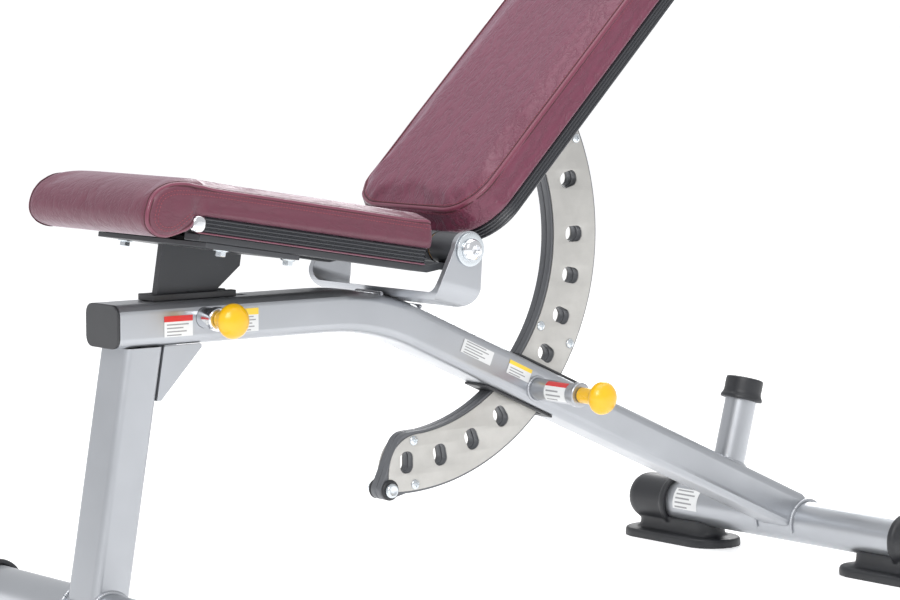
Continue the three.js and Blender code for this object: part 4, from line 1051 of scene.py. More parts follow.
@dataclass
class HingeSet:
    """The hinge bolt, washers, nut, tubes and bushes."""

    tube_radius: float = 19.0
    tube_bore: float = 13.0
    washer_radius: float = 20.0
    bolt_radius: float = 9.5
    face: float = 132.3
    body: str = "frame"

    def build(self) -> None:
        """Makes the fixed and the turning pieces."""
        self.washers()
        self.bolt()
        fit_out(refined("hinge_nut", 0.8), ZINC, self.body, "hinge_nut")
        self.tube("back_hinge_tube", -75, 75, "back")
        self.tube("seat_hinge_tube_near", *self.span("seat_hinge_tube_near"), "seat")
        self.tube("seat_hinge_tube_far", *self.span("seat_hinge_tube_far"), "seat")
        for node, body in (
            ("back_bush_near", "back"), ("back_bush_far", "back"), ("seat_bush_near", "seat"),
            ("seat_bush_far", "seat")
        ):
            fit_out(refined(node, 0.0), BRONZE, body, node)

    def span(self, node: str) -> tuple[float, float]:
        """A node's reach across the bench, in millimetres."""
        low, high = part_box(node)
        return low[1] / MM, high[1] / MM

    def washers(self) -> None:
        """Washers with a slightly domed edge."""
        for side, sign in (("near", -1), ("far", 1)):
            r, b = self.washer_radius, self.bolt_radius + 0.3
            profile = [
                (b, sign * self.face), (r, sign * self.face), (r, sign * (self.face + 3)),
                (b, sign * (self.face + 3))
            ]
            ring = turned(f"washer_{side}", profile, (0, 0, 0), soften=0.7, ring=True)
            fit_out(smooth(ring), ZINC, self.body, f"hinge_washer_{side}")

    def bolt(self) -> None:
        """A button-head bolt with a six-sided socket."""
        f = self.face + 3.3
        profile = [
            (0, f + 16), (8.5, f + 16), (9.5, f + 15), (9.5, -f), (13.5, -f), (13.4, -f - 2.4),
            (11.6, -f - 6.2), (8, -f - 8.8), (5.8, -f - 9.5), (5.4, -f - 8.8), (5.2, -f - 4),
            (0, -f - 4)
        ]
        bolt = turned("hinge_button_bolt", profile, (0, 0, 0), sides=72, soften=0.8)
        fit_out(smooth(bolt), CHROME, self.body, "hinge_bolt")

    def tube(self, node: str, y0: float, y1: float, body: str) -> None:
        """A hinge tube with eased ends."""
        profile = [
            (self.tube_radius, y0), (self.tube_radius, y1), (self.tube_bore, y1), (self.tube_bore, y0)
        ]
        made = turned(node + "_sleeve", profile, (0, 0, 0), soften=0.8, ring=True)
        fit_out(smooth(made), CHARCOAL, body, node)


@dataclass
class PullPin:
    """A pull pin on the beam's near side: barrel, collar and mushroom knob.

    Attributes:
        name: The CAD node of the pin.
        centre: The pin's axis, (along, up) from the hinge.
        pin_radius: Radius of the pin itself.
        barrel_radius: Radius of the barrel.
        wall: Where the barrel starts.
        outer: Where the barrel ends.
        neck: Length of the knob's neck.
        body: The CAD body that the knob moves with.
    """

    name: str
    centre: tuple[float, float]
    pin_radius: float
    barrel_radius: float
    wall: float
    outer: float
    neck: float
    body: str
    barrel_finish: Finish
    knob_radius: float = 20.5

    def build(self) -> None:
        """Makes the barrel and the knob, and dresses the pin and spring."""
        x, z = self.centre
        r, stem = self.barrel_radius, self.pin_radius * 0.62 + 0.3
        profile = [
            (r - 3, self.wall), (r, self.wall), (r, self.outer + 10), (r + 2, self.outer + 8.6),
            (r + 2, self.outer + 1.6), (r + 0.6, self.outer), (stem, self.outer),
            (stem, self.outer + 5), (r - 3, self.outer + 5)
        ]
        barrel = turned(f"{self.name}_housing", profile, (x, 0, z), soften=0.9, ring=True)
        fit_out(smooth(barrel), self.barrel_finish, "frame", f"{self.name}_barrel")
        top, k = self.outer - 0.7, self.knob_radius
        cap = top - self.neck
        knob = [
            (0, cap - 16), (k * 0.3, cap - 15.7), (
                k * 0.58, cap - 13.9
            ), (k * 0.82, cap - 10.3), (k * 0.97, cap - 5.4), (k, cap - 2.2),
            (k * 0.97, cap + 0.8), (k * 0.86, cap + 4.2), (k * 0.66, cap + 7.2), (k * 0.53, cap + 11), (k * 0.485, cap + 16),
            (k * 0.48, top), (stem, top), (stem, cap - 0.3), (0, cap - 0.3),
        ]
        made = turned(f"{self.name}_mushroom", knob, (x, 0, z), sides=80, soften=2.2)
        fit_out(smooth(made), YELLOW, self.body, f"{self.name}_knob")


# ---- Back frame and arc --------------------------------------------------------------------
@dataclass
class ArcPlate:
    """The slotted arc: a laminated core between two thin covers, its screws, bumper and bolt."""

    slot_circle: float = 266.7
    slot_length: float = 27.0
    slot_width: float = 20.0
    inner: float = 231.0
    outer: float = 305.0
    core: float = 20.0
    cover: float = 1.5
    bumper: tuple[float, float] = (-95.1, 299.7)
    screw_angles: tuple[float, ...] = (-28.0, -87.5, 24.0)
    screw_radii: tuple[float, float] = (241.0, 295.0)
    body: str = "back"

    def slots(self, grow: float = 0.0) -> list[Array]:
        """Outlines of the ten slots, each turned to its own angle."""
        found = []
        half_l, half_w = self.slot_length / 2 + grow, self.slot_width / 2 + grow
        for angle in [15.0, *(-11.25 * k for k in range(9))]:
            shape = round_rectangle(
                self.slot_circle - half_l, self.slot_circle + half_l, -half_w, half_w, 8.8 + grow, 7
            )
            c, s = math.cos(math.radians(angle)), math.sin(math.radians(angle))
            found.append(shape @ np.array([[c, s], [-s, c]]))
        return found

    def top_angle(self, radius: float) -> float:
        """Where a circle meets the underside of the spine: 45 degrees less asin(depth / radius)."""
        return BACK_ANGLE - math.degrees(math.asin(59.9 / radius))

    def core_outline(self) -> Array:
        """Outer arc down, round the bumper lug, straight up to the inner corner, inner arc back."""
        centre = polar(self.bumper[1], self.bumper[0])
        return np.concatenate([
            polar(self.outer, np.linspace(self.top_angle(self.outer), -90, 120)),
            centre + polar(12.3, np.linspace(-90, -200, 24)),
            softened(
                np.array(
                    [centre + polar(12.3, -200), polar(self.inner, -92.0), polar(self.inner, -83.0)]
                ),
                15, False
            )[1:-1],
            polar(self.inner, np.linspace(-83.0, self.top_angle(self.inner), 100)),
        ])

    def cover_outline(self) -> Array:
        """As the core, set in, with a large inner corner and a bite for the bumper."""
        inner, outer, end, corner = self.inner + 3, self.outer - 3, -95.6, 46.0
        centre = polar(self.bumper[1], self.bumper[0])
        t = np.linspace(0, 1, 24)[:, None]
        start, control = polar(inner + corner, end), polar(inner, end)
        finish = polar(inner, end + math.degrees(corner / inner))
        sweep = (1 - t) ** 2 * start + 2 * t * (1 - t) * control + t**2 * finish
        return np.concatenate([
            polar(outer, np.linspace(self.top_angle(outer), -92.7, 120)),
            centre + polar(13.0, np.linspace(-10, 94, 20)),
            sweep,
            polar(
                inner, np.linspace(end + math.degrees(corner / inner) + 0.5, self.top_angle(inner), 100)
            ),
        ])

    def build(self) -> None:
        """Makes the arc's pieces."""
        half = self.core / 2
        layers = [
            flat_plate(
                "layer", self.core_outline(), self.slots(0.2), y0, y1, 0.9
            ) for y0, y1 in ((-half, -0.5), (0.5, half))
        ]
        filler = self.core_outline()
        shrink = filler * (
            1 - 1.6 / np.linalg.norm(filler, axis=1, keepdims=True) * np.sign(
                np.linalg.norm(filler, axis=1, keepdims=True) - self.slot_circle
            )
        )
        layers.append(flat_plate("filler", shrink, self.slots(1.6), -0.7, 0.7, 0.1))
        fit_out(smooth(joined("arc_core_laminate", *layers), 40), CORE_GREY, self.body, "arc_core")
        for side, sign in (("near", -1), ("far", 1)):
            y0, y1 = sorted((sign * (half + 0.3), sign * (half + 0.3 + self.cover)))
            plate = flat_plate(f"arc_sheet_{side}", self.cover_outline(), self.slots(), y0, y1, 0.35)
            fit_out(smooth(plate, 40), STAINLESS, self.body, f"arc_cover_{side}")
        self.screws(half + 0.6 + self.cover)
        self.bumper_set()

    def screws(self, face: float) -> None:
        """Cross-recess screw heads: height = dome less a cross-shaped pit, on a polar grid."""
        heads = []
        turn = np.linspace(0, 2 * np.pi, 72, endpoint=False)
        radius = np.concatenate([np.linspace(0, 5.6, 26), [5.9, 6.0, 6.0]])
        x, y = radius[:, None] * np.cos(turn), radius[:, None] * np.sin(turn)
        dome = 2.5 * np.sqrt(np.clip(1 - (radius / 6.05) ** 2, 0, 1))[:, None] + np.zeros_like(x)
        arm = lambda a, b: np.clip(
            (0.75 - np.abs(a)) / 0.25, 0, 1
        ) * np.clip((3.1 - np.abs(b)) / 0.5, 0, 1)
        height = dome - 1.3 * np.maximum(arm(x, y), arm(y, x))
        height[-1] = 0.0
        points = [(a, r) for a in self.screw_angles for r in self.screw_radii]
        for number, (angle, at) in enumerate(points):
            centre = polar(at, angle)
            for sign in (-1, 1):
                grid = np.stack([centre[0] + x, sign * (face + height), centre[1] + y], -1)
                grid = np.concatenate(
                    [
                        grid,
                        np.stack(
                            [
                                centre[0] + x[-1:] * 0, np.full((1, 72), sign * face),
                                centre[1] + y[-1:] * 0
                            ],
                            -1
                        )
                    ]
                )
                heads.append(skin(f"head_{number}_{sign}", LEVEL.metres(grid), caps=False))
        fit_out(
            smooth(joined("arc_screw_heads", *heads), 45), ZINC, self.body,
            *(f"arc_screw_{i}" for i in range(1, 5))
        )

    def bumper_set(self) -> None:
        """The rubber stop with its waist, and the bolt through it."""
        x, z = polar(self.bumper[1], self.bumper[0])
        b, half, face = 12.5, 15.0, self.core / 2 + 0.3
        profile = [
            (5.3, -half), (b - 1.4, -half), (b, -half + 1.4), (b, -face - 1.2), (b - 1, -face),
            (8, -face), (8, face), (b - 1, face), (b, face + 1.2), (b, half - 1.4), (b - 1.4, half),
            (5.3, half)
        ]
        fit_out(
            smooth(turned("bumper_grommet", profile, (x, 0, z), soften=0.8, ring=True)), RUBBER,
            self.body, "stop_bumper"
        )
        f = half + 0.3
        bolt = [
            (0, -f - 3.4), (3.6, -f - 3.6), (6.2, -f - 4.9), (8.2, -f - 3.6), (9, -f - 1.4), (9, -f),
            (5, -f), (5, f), (8, f), (8, f + 6), (0, f + 6)
        ]
        fit_out(
            smooth(turned("bumper_dished_bolt", bolt, (x, 0, z), soften=0.8)), ZINC, self.body,
            "bumper_bolt"
        )


@dataclass
class BackFrame:
    """Ears, spine, plates and landing channel behind the backrest, with their bolts."""

    plate_bottom: float = -39.3
    plate_middles: tuple[float, float] = (89.0, 530.0)
    body: str = "back"

    def build(self) -> None:
        """Makes the eased copies of the plates and the bolt heads under them."""
        for node in (
            "back_ear_near", "back_ear_far", "back_spine", "back_plate_lower", "back_plate_upper",
            "back_landing_channel"
        ):
            fit_out(refined(node, 0.8), CHARCOAL, self.body, node)
        heads = [
            bolt_head(
                f"back_bolt_{s:.0f}_{y}", BACK, (s, y, self.plate_bottom)
            ) for s in self.plate_middles for y in (-78, 78)
        ]
        fit_out(joined("back_plate_bolts", *heads), ZINC, self.body)


def bolt_head(
    name: str, place: Place, foot: tuple[float, float, float], size: float = 6.5
) -> bpy.types.Object:
    """A flanged hexagon bolt head hanging below a face, square to it.

    Args:
        name: The object's name.
        place: The working frame whose w axis is square to the face.
        foot: Where the head meets the face.
        size: Radius over the hexagon's corners, in millimetres.
    """
    flange = turned(
        name + "_flange", [(0, -0.1), (size + 2.4, -0.1), (size + 2.2, -1.2), (size, -2.2), (0, -2.2)],
        foot, place, "w", 40, 0.3
    )
    hexagon = turned(
        name + "_hexagon", [(0, -2.0), (size, -2.0), (size, -6.4), (size - 1.2, -7.4), (0, -7.4)], foot,
        place, "w", 6
    )
    return smooth(joined(name, flange, hexagon), 25)


# ---- Pads ----------------------------------------------------------------------------------
def puffed(
    made: bpy.types.Object, held: Array, voxel: float, pressure: float, cap: float
) -> bpy.types.Object:
    """Swells a foam shape with cloth pressure, then limits how far any point has moved.

    Args:
        made: The shape, already remeshed evenly, in metres.
        held: True for points that stay on the board.
        voxel: Spacing of the mesh, which sets the cloth's stiffness.
        pressure: Cloth pressure.
        cap: Greatest move, in metres.
    """
    scene = bpy.context.scene
    start = coordinates(made.data)
    group = made.vertex_groups.new(name="on the board")
    group.add(np.flatnonzero(held).tolist(), 1.0, "REPLACE")
    cloth = made.modifiers.new("foam", "CLOTH")
    settings = cloth.settings
    settings.quality, settings.mass = 4, 0.3
    settings.tension_stiffness = settings.compression_stiffness = 15 * voxel / 0.005
    settings.use_pressure, settings.uniform_pressure_force = True, pressure
    settings.effector_weights.gravity = 0
    settings.vertex_group_mass = group.name
    cloth.point_cache.frame_start, cloth.point_cache.frame_end = 1, 20
    for step in range(1, 21):
        scene.frame_set(step)
    end = coordinates(made.evaluated_get(bpy.context.evaluated_depsgraph_get()).data)
    made.modifiers.clear()
    made.vertex_groups.clear()
    scene.frame_set(1)
    move = end - start
    length = np.maximum(np.linalg.norm(move, axis=1, keepdims=True), 1e-9)
    set_coordinates(made.data, start + move * np.minimum(1, cap / length))
    return made


def foam_shape(
    node: str, name: str, place: Place, inset: Sequence[float], voxel: float
) -> bpy.types.Object:
    """A pad's CAD shape drawn in a little and remeshed evenly, in its own level frame.

    Args:
        node: The CAD pad.
        name: The new object's name.
        place: The pad's working frame.
        inset: Millimetres drawn in on each side along u, v and at the top along w.
        voxel: Spacing of the new mesh, in metres.
    """
    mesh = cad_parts[node].data.copy()
    mesh.materials.clear()
    made = bpy.data.objects.new(name, mesh)
    bpy.context.scene.collection.objects.link(made)
    points = place.local(coordinates(mesh))
    low, high = points.min(0), points.max(0)
    middle, half = (low + high) / 2, (high - low) / 2
    share = (points - middle) / half
    points[:, 0] -= share[:, 0] * inset[0]
    points[:, 1] -= share[:, 1] * inset[1]
    points[:, 2] -= (points[:, 2] - low[2]) / (high[2] - low[2]) * inset[2]
    set_coordinates(mesh, points * MM)
    tidied(made, 1e-6, recalculate=False)
    remesh = made.modifiers.new("even mesh", "REMESH")
    remesh.mode, remesh.voxel_size = "VOXEL", voxel
    evener = made.modifiers.new("even edges", "SMOOTH")
    evener.factor, evener.iterations = 0.5, 3
    return applied(made)


def settle_pad(made: bpy.types.Object, place: Place, limit: Array) -> BVHTree:
    """One subdivision, a clamp to the room the pad has, then the pad's real place; gives its tree.

    Args:
        made: The pad in its level frame, in metres.
        place: The pad's working frame.
        limit: Least and greatest (u, v, w) in millimetres, two rows.
    """
    finer = made.modifiers.new("finer", "SUBSURF")
    finer.levels = finer.render_levels = 1
    applied(made)
    points = np.clip(coordinates(made.data) / MM, limit[0], limit[1])
    set_coordinates(made.data, place.metres(points))
    smooth(made, 80)
    shape = bmesh.new()
    shape.from_mesh(made.data)
    tree = BVHTree.FromBMesh(shape)
    shape.free()
    return tree


def on_skin(tree: BVHTree, starts: Array, ways: Array) -> Array:
    """Where rays from outside first meet a pad; a ray that misses keeps its neighbour's place."""
    hits = [tree.ray_cast(Vector(a), Vector(d)) for a, d in zip(starts, ways)]
    found = np.array([tuple(hit[0]) if hit[0] is not None else (np.nan,) * 3 for hit in hits])
    good = ~np.isnan(found[:, 0])
    index = np.arange(len(found))
    return np.stack([np.interp(index, index[good], found[good, k]) for k in range(3)], 1)


def stitches(
    name: str, line: Array, out: Array, pitch: float, length: float, thick: float, closed: bool
) -> bpy.types.Object:
    """A row of stitches: short flattened bars lying on a seam line, one pitch apart.

    Each is an ellipsoid: centre + length/2 cos p * heading + thick cos q sin p * side + thick/2 sin q sin p * out.
    """
    total = np.linalg.norm(
        np.diff(np.vstack([line, line[:1]]) if closed else line, axis=0), axis=1
    ).sum()
    count = int(total / (pitch * MM))
    centres = resampled(line, count, closed)
    outs = resampled(np.hstack([line, out]), count, closed)[:, 3:]
    outs /= np.linalg.norm(outs, axis=1, keepdims=True)
    heading = headings(centres, closed)
    side = np.cross(heading, outs)
    p, q = np.meshgrid(
        np.linspace(0, np.pi, 7), np.linspace(0, 2 * np.pi, 6, endpoint=False), indexing="ij"
    )
    a = (np.cos(p) * length / 2)[None, ..., None] * MM
    b = (np.sin(p) * np.cos(q) * thick)[None, ..., None] * MM
    c = (np.sin(p) * np.sin(q) * thick * 0.8)[None, ..., None] * MM
    grid = centres[:, None, None] + a * heading[:, None, None] + b * side[:, None, None] + c * outs[:, None, None]
    rows, columns = p.shape
    i, j = np.meshgrid(np.arange(rows - 1), np.arange(columns), indexing="ij")
    one = np.stack(
        [
            i * columns + j, i * columns + (j + 1) % columns, (i + 1) * columns + (j + 1) % columns,
            (i + 1) * columns + j
        ],
        -1
    ).reshape(-1, 4)
    faces = (one[None] + (np.arange(count) * rows * columns)[:, None, None]).reshape(-1, 4)
    return smooth(tidied(mesh_object(name, grid.reshape(-1, 3), faces.tolist()), 1e-7), 60)


def ribbed_section(height: float, thick: float, ribs: int = 4, depth: float = 1.7) -> Array:
    """Closed section of the trim: its outer face swells and dips as cos(2 pi ribs t), t from bottom to top."""
    t = np.linspace(0, 1, 14 * ribs + 1)
    face = thick - depth * (0.5 + 0.5 * np.cos(2 * np.pi * ribs * t)) ** 1.6
    outer = np.stack([face, height * t], 1)
    return np.vstack([outer, [[0.0, height], [0.0, 0.0]]])


@dataclass
class BackPad:
    """The backrest: board, foam and vinyl, edge roll, stitching and ribbed trim."""

    start: float = 30.0
    end: float = 870.0
    half_width: float = 125.0
    corner: float = 60.0
    face: float = 31.0
    foot: float = -13.7
    trim_low: float = -31.3
    trim_height: float = 17.0
    voxel: float = 0.006
    body: str = "back"

    def build(self) -> None:
        """Makes the pad and everything sewn or fixed to its edge."""
        fit_out(refined("back_board", 1.0), BACKING, self.body, "back_board")
        pad = foam_shape("back_pad", "backrest_cushion", BACK, (-2.0, -2.0, 4.0), self.voxel)
        held = coordinates(pad.data)[:, 2] < (self.foot + 8.0) * MM
        puffed(pad, held, self.voxel, 4.0, 6.5 * MM)
        room = np.array(
            [
                [self.start - 3, -self.half_width - 3, self.foot],
                [self.end + 3, self.half_width + 3, self.face + 9]
            ]
        )
        tree = settle_pad(pad, BACK, room)
        fit_out(pad, VINYL_BACK, self.body, "back_pad")
        self.edge(tree)
        self.trim()

    def ring(self, inset: float, count: int) -> tuple[Array, Array]:
        """The pad's outline drawn in by `inset`, with outward directions, both in the (u, v) plane."""
        loop = resampled(
            round_rectangle(
                self.start + inset, self.end - inset, -self.half_width + inset, self.half_width - inset,
                self.corner - inset, 24
            ),
            count, True
        )
        heading = headings(loop, True)
        return loop, np.stack([heading[:, 1], -heading[:, 0]], 1)

    def edge(self, tree: BVHTree) -> None:
        """The rolled edge between face and side, and the two rows of stitches beside it."""
        u, v, w = BACK.axes()
        loop, out = self.ring(0.0, 560)
        outward = out[:, :1] * u + out[:, 1:] * v
        tilted = (outward + w) / math.sqrt(2)
        corner = BACK.metres(np.column_stack([loop - out * 6, np.full(len(loop), self.face - 6)]))
        skin_line = on_skin(tree, corner + tilted * 0.05, -tilted)
        roll = swept(
            "backrest_edge_roll", skin_line - tilted * 1.5 * MM, outward, w,
            round_section(3.3, 3.3, 18), True
        )
        fit_out(smooth(roll, 60), PIPING_HIGHLIGHT, self.body)
        aside = (outward - w) / math.sqrt(2)
        # Two thin dark cords either side of the roll: painted shadow of the seam.
        seam_shadows = [
            swept(
                f"seam_shadow_{way:.0f}", skin_line - tilted * 0.55 * MM + aside * way * 3.4 * MM, outward,
                w, round_section(0.9, 0.9, 10), True
            )
            for way in (-1.0, 1.0)
        ]
        fit_out(smooth(joined("backrest_seam_shadows", *seam_shadows), 60), SEAM_SHADOW, self.body)
        rows = []
        for height, name in ((self.face - 13.0, "outer"), (self.face - 9.0, "inner")):
            base = BACK.metres(np.column_stack([loop, np.full(len(loop), height)]))
            line = on_skin(tree, base + outward * 0.05, -outward)
            rows.append(
                stitches(f"side_{name}", line + outward * 0.25 * MM, outward, 4.2, 3.1, 0.55, True)
            )
        face_loop, _ = self.ring(13.5, 520)
        base = BACK.metres(np.column_stack([face_loop, np.full(len(face_loop), self.face)]))
        line = on_skin(tree, base + w * 0.05, np.broadcast_to(-w, base.shape))
        rows.append(
            stitches(
                "face_row", line + w * 0.15 * MM, np.broadcast_to(w, line.shape), 4.2, 3.1, 0.5, True
            )
        )
        fit_out(joined("backrest_stitching", *rows), THREAD, self.body)

    def trim(self) -> None:
        """Ribbed trim round the board's edge."""
        loop, out = self.ring(9.7, 420)
        u, v, w = BACK.axes()
        outward = out[:, :1] * u + out[:, 1:] * v
        path = BACK.metres(np.column_stack([loop, np.full(len(loop), self.trim_low)]))
        made = swept("back_ribbed_trim", path, outward, w, ribbed_section(self.trim_height, 6.0), True)
        fit_out(smooth(made, 50), TRIM, self.body, "back_trim")


@dataclass
class SeatPad:
    """The seat: board, foam and vinyl, side seams, ribbed trim with its clips, frame and bolts."""

    start: float = 46.0
    trim_end: float = 378.0
    half_width: float = 125.0
    corner: float = 12.0
    foot: float = -5.7
    top: float = 33.0
    nose: float = 455.0
    trim_low: float = -23.3
    trim_height: float = 17.0
    voxel: float = 0.005
    body: str = "seat"

    def build(self) -> None:
        """Makes the pad, its edge pieces and the steel under it."""
        fit_out(refined("seat_board", 1.0), BACKING, self.body, "seat_board")
        for node in ("seat_rail_near", "seat_rail_far", "seat_cross_plate", "seat_plate"):
            fit_out(refined(node, 0.8), CHARCOAL, self.body, node)
        pad = foam_shape("seat_pad", "seat_cushion", SEAT, (0.0, -1.0, 3.0), self.voxel)
        local = coordinates(pad.data) / MM
        held = (local[:, 2] < self.foot + 8.0) & (local[:, 0] > -self.trim_end + 6)
        puffed(pad, held, self.voxel, 4.0, 5.0 * MM)
        room = np.array(
            [
                [-self.nose - 4, -self.half_width - 3, -44.0],
                [-self.start + 1.5, self.half_width + 3, self.top + 6]
            ]
        )
        local = coordinates(pad.data) / MM
        over_board = (local[:, 0] > -self.trim_end) & (local[:, 2] < self.foot)
        local[over_board, 2] = self.foot
        set_coordinates(pad.data, local * MM)
        tree = settle_pad(pad, SEAT, room)
        fit_out(pad, VINYL_SEAT_SHADED, self.body, "seat_pad")
        self.seams(tree)
        self.trim()
        heads = [
            bolt_head(f"seat_bolt_{s}_{y}", SEAT, (-s, y, -39.9)) for s in (236, 330) for y in (-98, 98)
        ]
        fit_out(joined("seat_frame_bolts", *heads), ZINC, self.body)

    def side_outline(self, inset: float) -> Array:
        """The side panel's seam line in the (u, w) plane, from the rear top round the nose to the board."""
        n, i = self.nose, inset
        points = np.array([
            [
                -self.start - 2, self.top - i
            ], [-n + 70, self.top - i], [-n + 30, self.top - i - 4], [-n + 10, self.top - i - 16],
            [-n + i + 1, self.top - 46], [-n + i + 3, -24.0], [-n + 22, -40.0 + i], [-n + 44, -38.0 + i], [-self.trim_end - 8, -16 + i]])
        return resampled(softened(points, 26, False, 8), 220, False)

    def seams(self, tree: BVHTree) -> None:
        """Edge rolls and stitching along both side panels."""
        u, v, w = SEAT.axes()
        line = self.side_outline(5.0)
        heading = headings(line, False)
        out = np.stack([heading[:, 1], -heading[:, 0]], 1)
        outward = out[:, :1] * u + out[:, 1:] * w
        rolls, rows, seam_shadows = [], [], []
        for sign in (-1, 1):
            base = SEAT.metres(
                np.column_stack(
                    [line[:, 0], np.full(len(line), sign * (self.half_width - 5)), line[:, 1]]
                )
            )
            tilted = (outward + sign * v) / math.sqrt(2)
            edge = on_skin(tree, base + tilted * 0.04, -tilted)
            rolls.append(
                swept(
                    f"roll_{sign}", edge - tilted * 1.2 * MM, outward,
                    np.broadcast_to(sign * v, edge.shape), round_section(2.7, 2.7, 16), False
                )
            )
            aside = (outward - sign * v) / math.sqrt(2)
            # Two thin dark cords either side of the roll: painted shadow of the seam.
            for way in (-1.0, 1.0):
                at = edge - tilted * 0.45 * MM + aside * way * 2.9 * MM
                seam_shadows.append(
                    swept(
                        f"seam_shadow_{sign}_{way:.0f}", at, outward, np.broadcast_to(sign * v, edge.shape),
                        round_section(0.8, 0.8, 10), False
                    )
                )
            for drop in (6.5, 10.5):
                low = base - outward * drop * MM
                low_line = on_skin(tree, low + sign * v * 0.04, np.broadcast_to(-sign * v, low.shape))
                rows.append(
                    stitches(
                        f"row_{sign}_{drop}", low_line + sign * v * 0.2 * MM,
                        np.broadcast_to(sign * v, low.shape), 4.0, 3.0, 0.5, False
                    )
                )
        fit_out(smooth(joined("seat_edge_rolls", *rolls), 60), PIPING_HIGHLIGHT, self.body)
        fit_out(smooth(joined("seat_seam_shadows", *seam_shadows), 60), SEAM_SHADOW, self.body)
        fit_out(joined("seat_stitching", *rows), THREAD, self.body)

    def edge_path(self, inset: float, reach: float, count: int) -> tuple[Array, Array]:
        """Open path round the board from one front end, round the rear, to the other."""
        half, r = self.half_width - inset, self.corner - inset if self.corner > inset + 3 else 3.0
        rear = -self.start - inset
        c0, c1 = np.array([rear - r, -half + r]), np.array([rear - r, half - r])
        line = np.vstack(
            [
                [[-reach, -half]], c0 + polar(r, np.linspace(-90, 0, 8)),
                c1 + polar(r, np.linspace(0, 90, 8)), [[-reach, half]]
            ]
        )
        path = resampled(line, count, False)
        heading = headings(path, False)
        return path, np.stack([heading[:, 1], -heading[:, 0]], 1)

    def trim(self) -> None:
        """Ribbed trim, the vinyl tucked under it, and a bright clip at each front end."""
        u, v, w = SEAT.axes()
        for name, low, section, finish, nodes in (
            (
                "seat_ribbed_trim", self.trim_low, ribbed_section(self.trim_height, 6.0), TRIM,
                ("seat_trim",)
            ),
            # The tucked strip takes the lighter piping vinyl: a painted sheen below the trim.
            (
                "seat_tucked_vinyl", self.trim_low - 1.0, round_section(3.4, 1.0, 12) + [2.6, 0.0],
                PIPING_HIGHLIGHT, ()
            ),
        ):
            path, out = self.edge_path(9.7, self.trim_end - 0.2, 300)
            outward = out[:, :1] * u + out[:, 1:] * v
            made = swept(
                name, SEAT.metres(np.column_stack([path, np.full(len(path), low)])), outward, w,
                section, False
            )
            fit_out(smooth(made, 50), finish, self.body, *nodes)
        clips = []
        a, b = np.meshgrid(
            np.linspace(0, 2 * np.pi, 48, endpoint=False), np.linspace(-np.pi / 2, np.pi / 2, 25),
            indexing="ij"
        )
        square = lambda value, power: np.sign(value) * np.abs(value) ** power
        for sign in (-1, 1):
            centre = np.array(
                [
                    -self.trim_end - 1.5, sign * (self.half_width - 6.4),
                    self.trim_low + self.trim_height / 2
                ]
            )
            grid = np.stack([
                centre[0] + 9.0 * square(np.cos(b), 0.6) * square(np.cos(a), 0.8),
                centre[1] + 5.2 * square(np.sin(b), 0.7),
                centre[2] + 9.6 * square(np.cos(b), 0.6) * square(np.sin(a), 0.8)], -1)
            clips.append(skin(f"clip_{sign}", SEAT.metres(np.swapaxes(grid, 0, 1)), caps=False))
        fit_out(smooth(joined("trim_end_clips", *clips), 60), CHROME, self.body)


